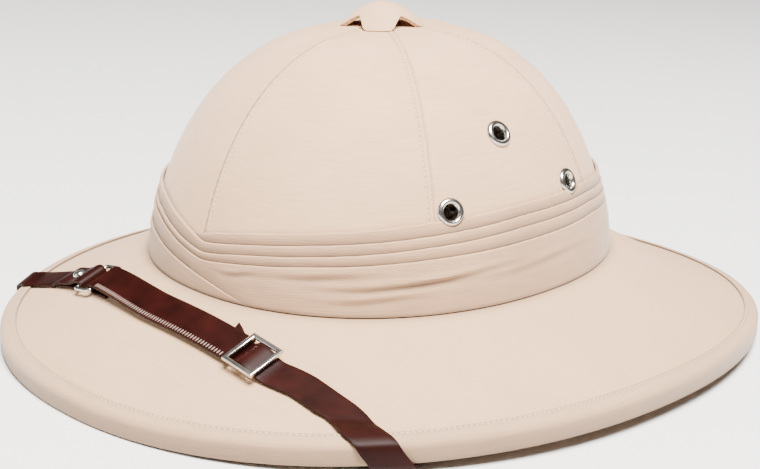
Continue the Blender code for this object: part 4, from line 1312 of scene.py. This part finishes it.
strap_nickel = nickel("strap_nickel", (0.68, 0.66, 0.62), 0.2)
ring_place = strap_frame((TAB_FOLD_X + UPPER_FOLD_X) / 2)
half_length, half_width = (UPPER_FOLD_X - TAB_FOLD_X) / 2, (RING_INSIDE + RING_WIRE) / 2
path = []
for number, (x, y) in enumerate(((1, 1), (-1, 1), (-1, -1), (1, -1))):
    for step in range(9):
        turn = math.radians(90 * number + 90 * step / 8)
        outward = Vector((math.cos(turn), math.sin(turn), 0))
        middle = Vector((x * (half_length - RING_CORNER), y * (half_width - RING_CORNER), ring_height))
        path.append((middle + outward * RING_CORNER, outward))
bm = bmesh.new()
for vert, column, row in laid_grid(bm, len(path), RING_SIDES):
    middle, outward = path[column % len(path)]
    turn = math.tau * row / RING_SIDES
    round_wire = outward * math.cos(turn) + Vector((0, 0, 1)) * math.sin(turn)
    vert.co = middle + round_wire * RING_WIRE / 2
bmesh.ops.remove_doubles(bm, verts=bm.verts[:], dist=1e-6)
bmesh.ops.recalc_face_normals(bm, faces=bm.faces[:])
bmesh.ops.transform(bm, matrix=ring_place, verts=bm.verts[:])
finished(bm, "strap_ring_wire", strap_nickel, ["strap_ring"], 60)

stud_base = over_return + LEATHER + 2 * LAP
stud_profile = [(0, STUD_HEIGHT)]
stud_profile += [
    (STUD_RADIUS * math.sin(turn), STUD_HEIGHT * math.cos(turn))
    for turn in map(math.radians, range(12, 85, 12))]
stud_profile += [(STUD_RADIUS, 0.0001), (STUD_RADIUS - 0.0002, 0.0), (0, 0.0)]
stud_place = strap_frame(STUD_X) @ Matrix.Translation((0, 0, stud_base))
finished(turned(stud_profile, 36, stud_place), "strap_stud_dome", strap_nickel, ["strap_stud"], 50)

for number, anchor in enumerate((right_anchor, left_anchor), start=1):
    up = brim_normal(anchor.x, anchor.y)
    face = brim_top(anchor.x, anchor.y) - Vector((0, 0, BRIM_WALL + STRAP_REST)) - up * LEATHER
    across = up.cross(Vector((1, 0, 0))).normalized()
    place = Matrix.Translation(face) @ Matrix((across, (-up).cross(across), -up)).transposed().to_4x4()
    profile = [(0, RIVET_HEAD)]
    profile += [
        (RIVET_RADIUS * math.sin(turn), RIVET_HEAD * (0.35 + 0.65 * math.cos(turn)))
        for turn in map(math.radians, range(15, 90, 15))]
    profile += [(RIVET_RADIUS, RIVET_HEAD * 0.3), (RIVET_RADIUS, 0.0), (0, 0.0)]
    finished(turned(profile, 32, place), f"strap_rivet_head_{number}", strap_nickel,
             [f"strap_rivet_{number}"], 50)

bm = bmesh.new()
bmesh.ops.create_grid(bm, x_segments=1, y_segments=1, size=0.5)
bmesh.ops.transform(bm, matrix=Matrix.Diagonal((BUCKLE_LENGTH, BUCKLE_WIDTH, 1, 1)), verts=bm.verts[:])
window = bm.faces[:]
bmesh.ops.inset_region(bm, faces=window, thickness=BUCKLE_BAR, use_boundary=True, use_even_offset=True)
bmesh.ops.delete(bm, geom=window, context="FACES")
grown = bmesh.ops.extrude_face_region(bm, geom=bm.faces[:])
raised = [item for item in grown["geom"] if isinstance(item, bmesh.types.BMVert)]
bmesh.ops.translate(bm, verts=raised, vec=(0, 0, BUCKLE_PLATE))
bmesh.ops.recalc_face_normals(bm, faces=bm.faces[:])
hard = [edge for edge in bm.edges if edge.calc_face_angle(0) > 0.5]
bmesh.ops.bevel(bm, geom=hard, offset=0.00042, segments=3, profile=0.5, material=-1, affect="EDGES")
bmesh.ops.translate(bm, verts=bm.verts[:], vec=(0, 0, plate_bottom))
bar_low = over_centre_bar - LAP - CENTRE_BAR_DEPTH
bar_high = plate_bottom + LAP
bar_end = BUCKLE_WIDTH / 2 - 0.001
leg = (BUCKLE_CENTRE_BAR, CENTRE_BAR_DEPTH, bar_high - bar_low)
leg_height = (bar_high + bar_low) / 2
centre_bar = (
    # size, middle
    ((BUCKLE_CENTRE_BAR, 2 * bar_end, CENTRE_BAR_DEPTH), (0, 0, bar_low + CENTRE_BAR_DEPTH / 2)),
    (leg, (0, bar_end - 0.0005, leg_height)),
    (leg, (0, 0.0005 - bar_end, leg_height)),
)
for size, middle in centre_bar:
    bar = bmesh.new()
    bmesh.ops.create_cube(bar, size=1.0, matrix=Matrix.Translation(middle) @ Matrix.Diagonal((*size, 1)))
    bmesh.ops.bevel(
        bar, geom=bar.edges[:], offset=0.0002, segments=2, profile=0.5, material=-1, affect="EDGES")
    joined(bm, bar)
bmesh.ops.transform(bm, matrix=strap_frame(BUCKLE_X), verts=bm.verts[:])
finished(bm, "strap_buckle", strap_nickel, ["buckle"], 40)
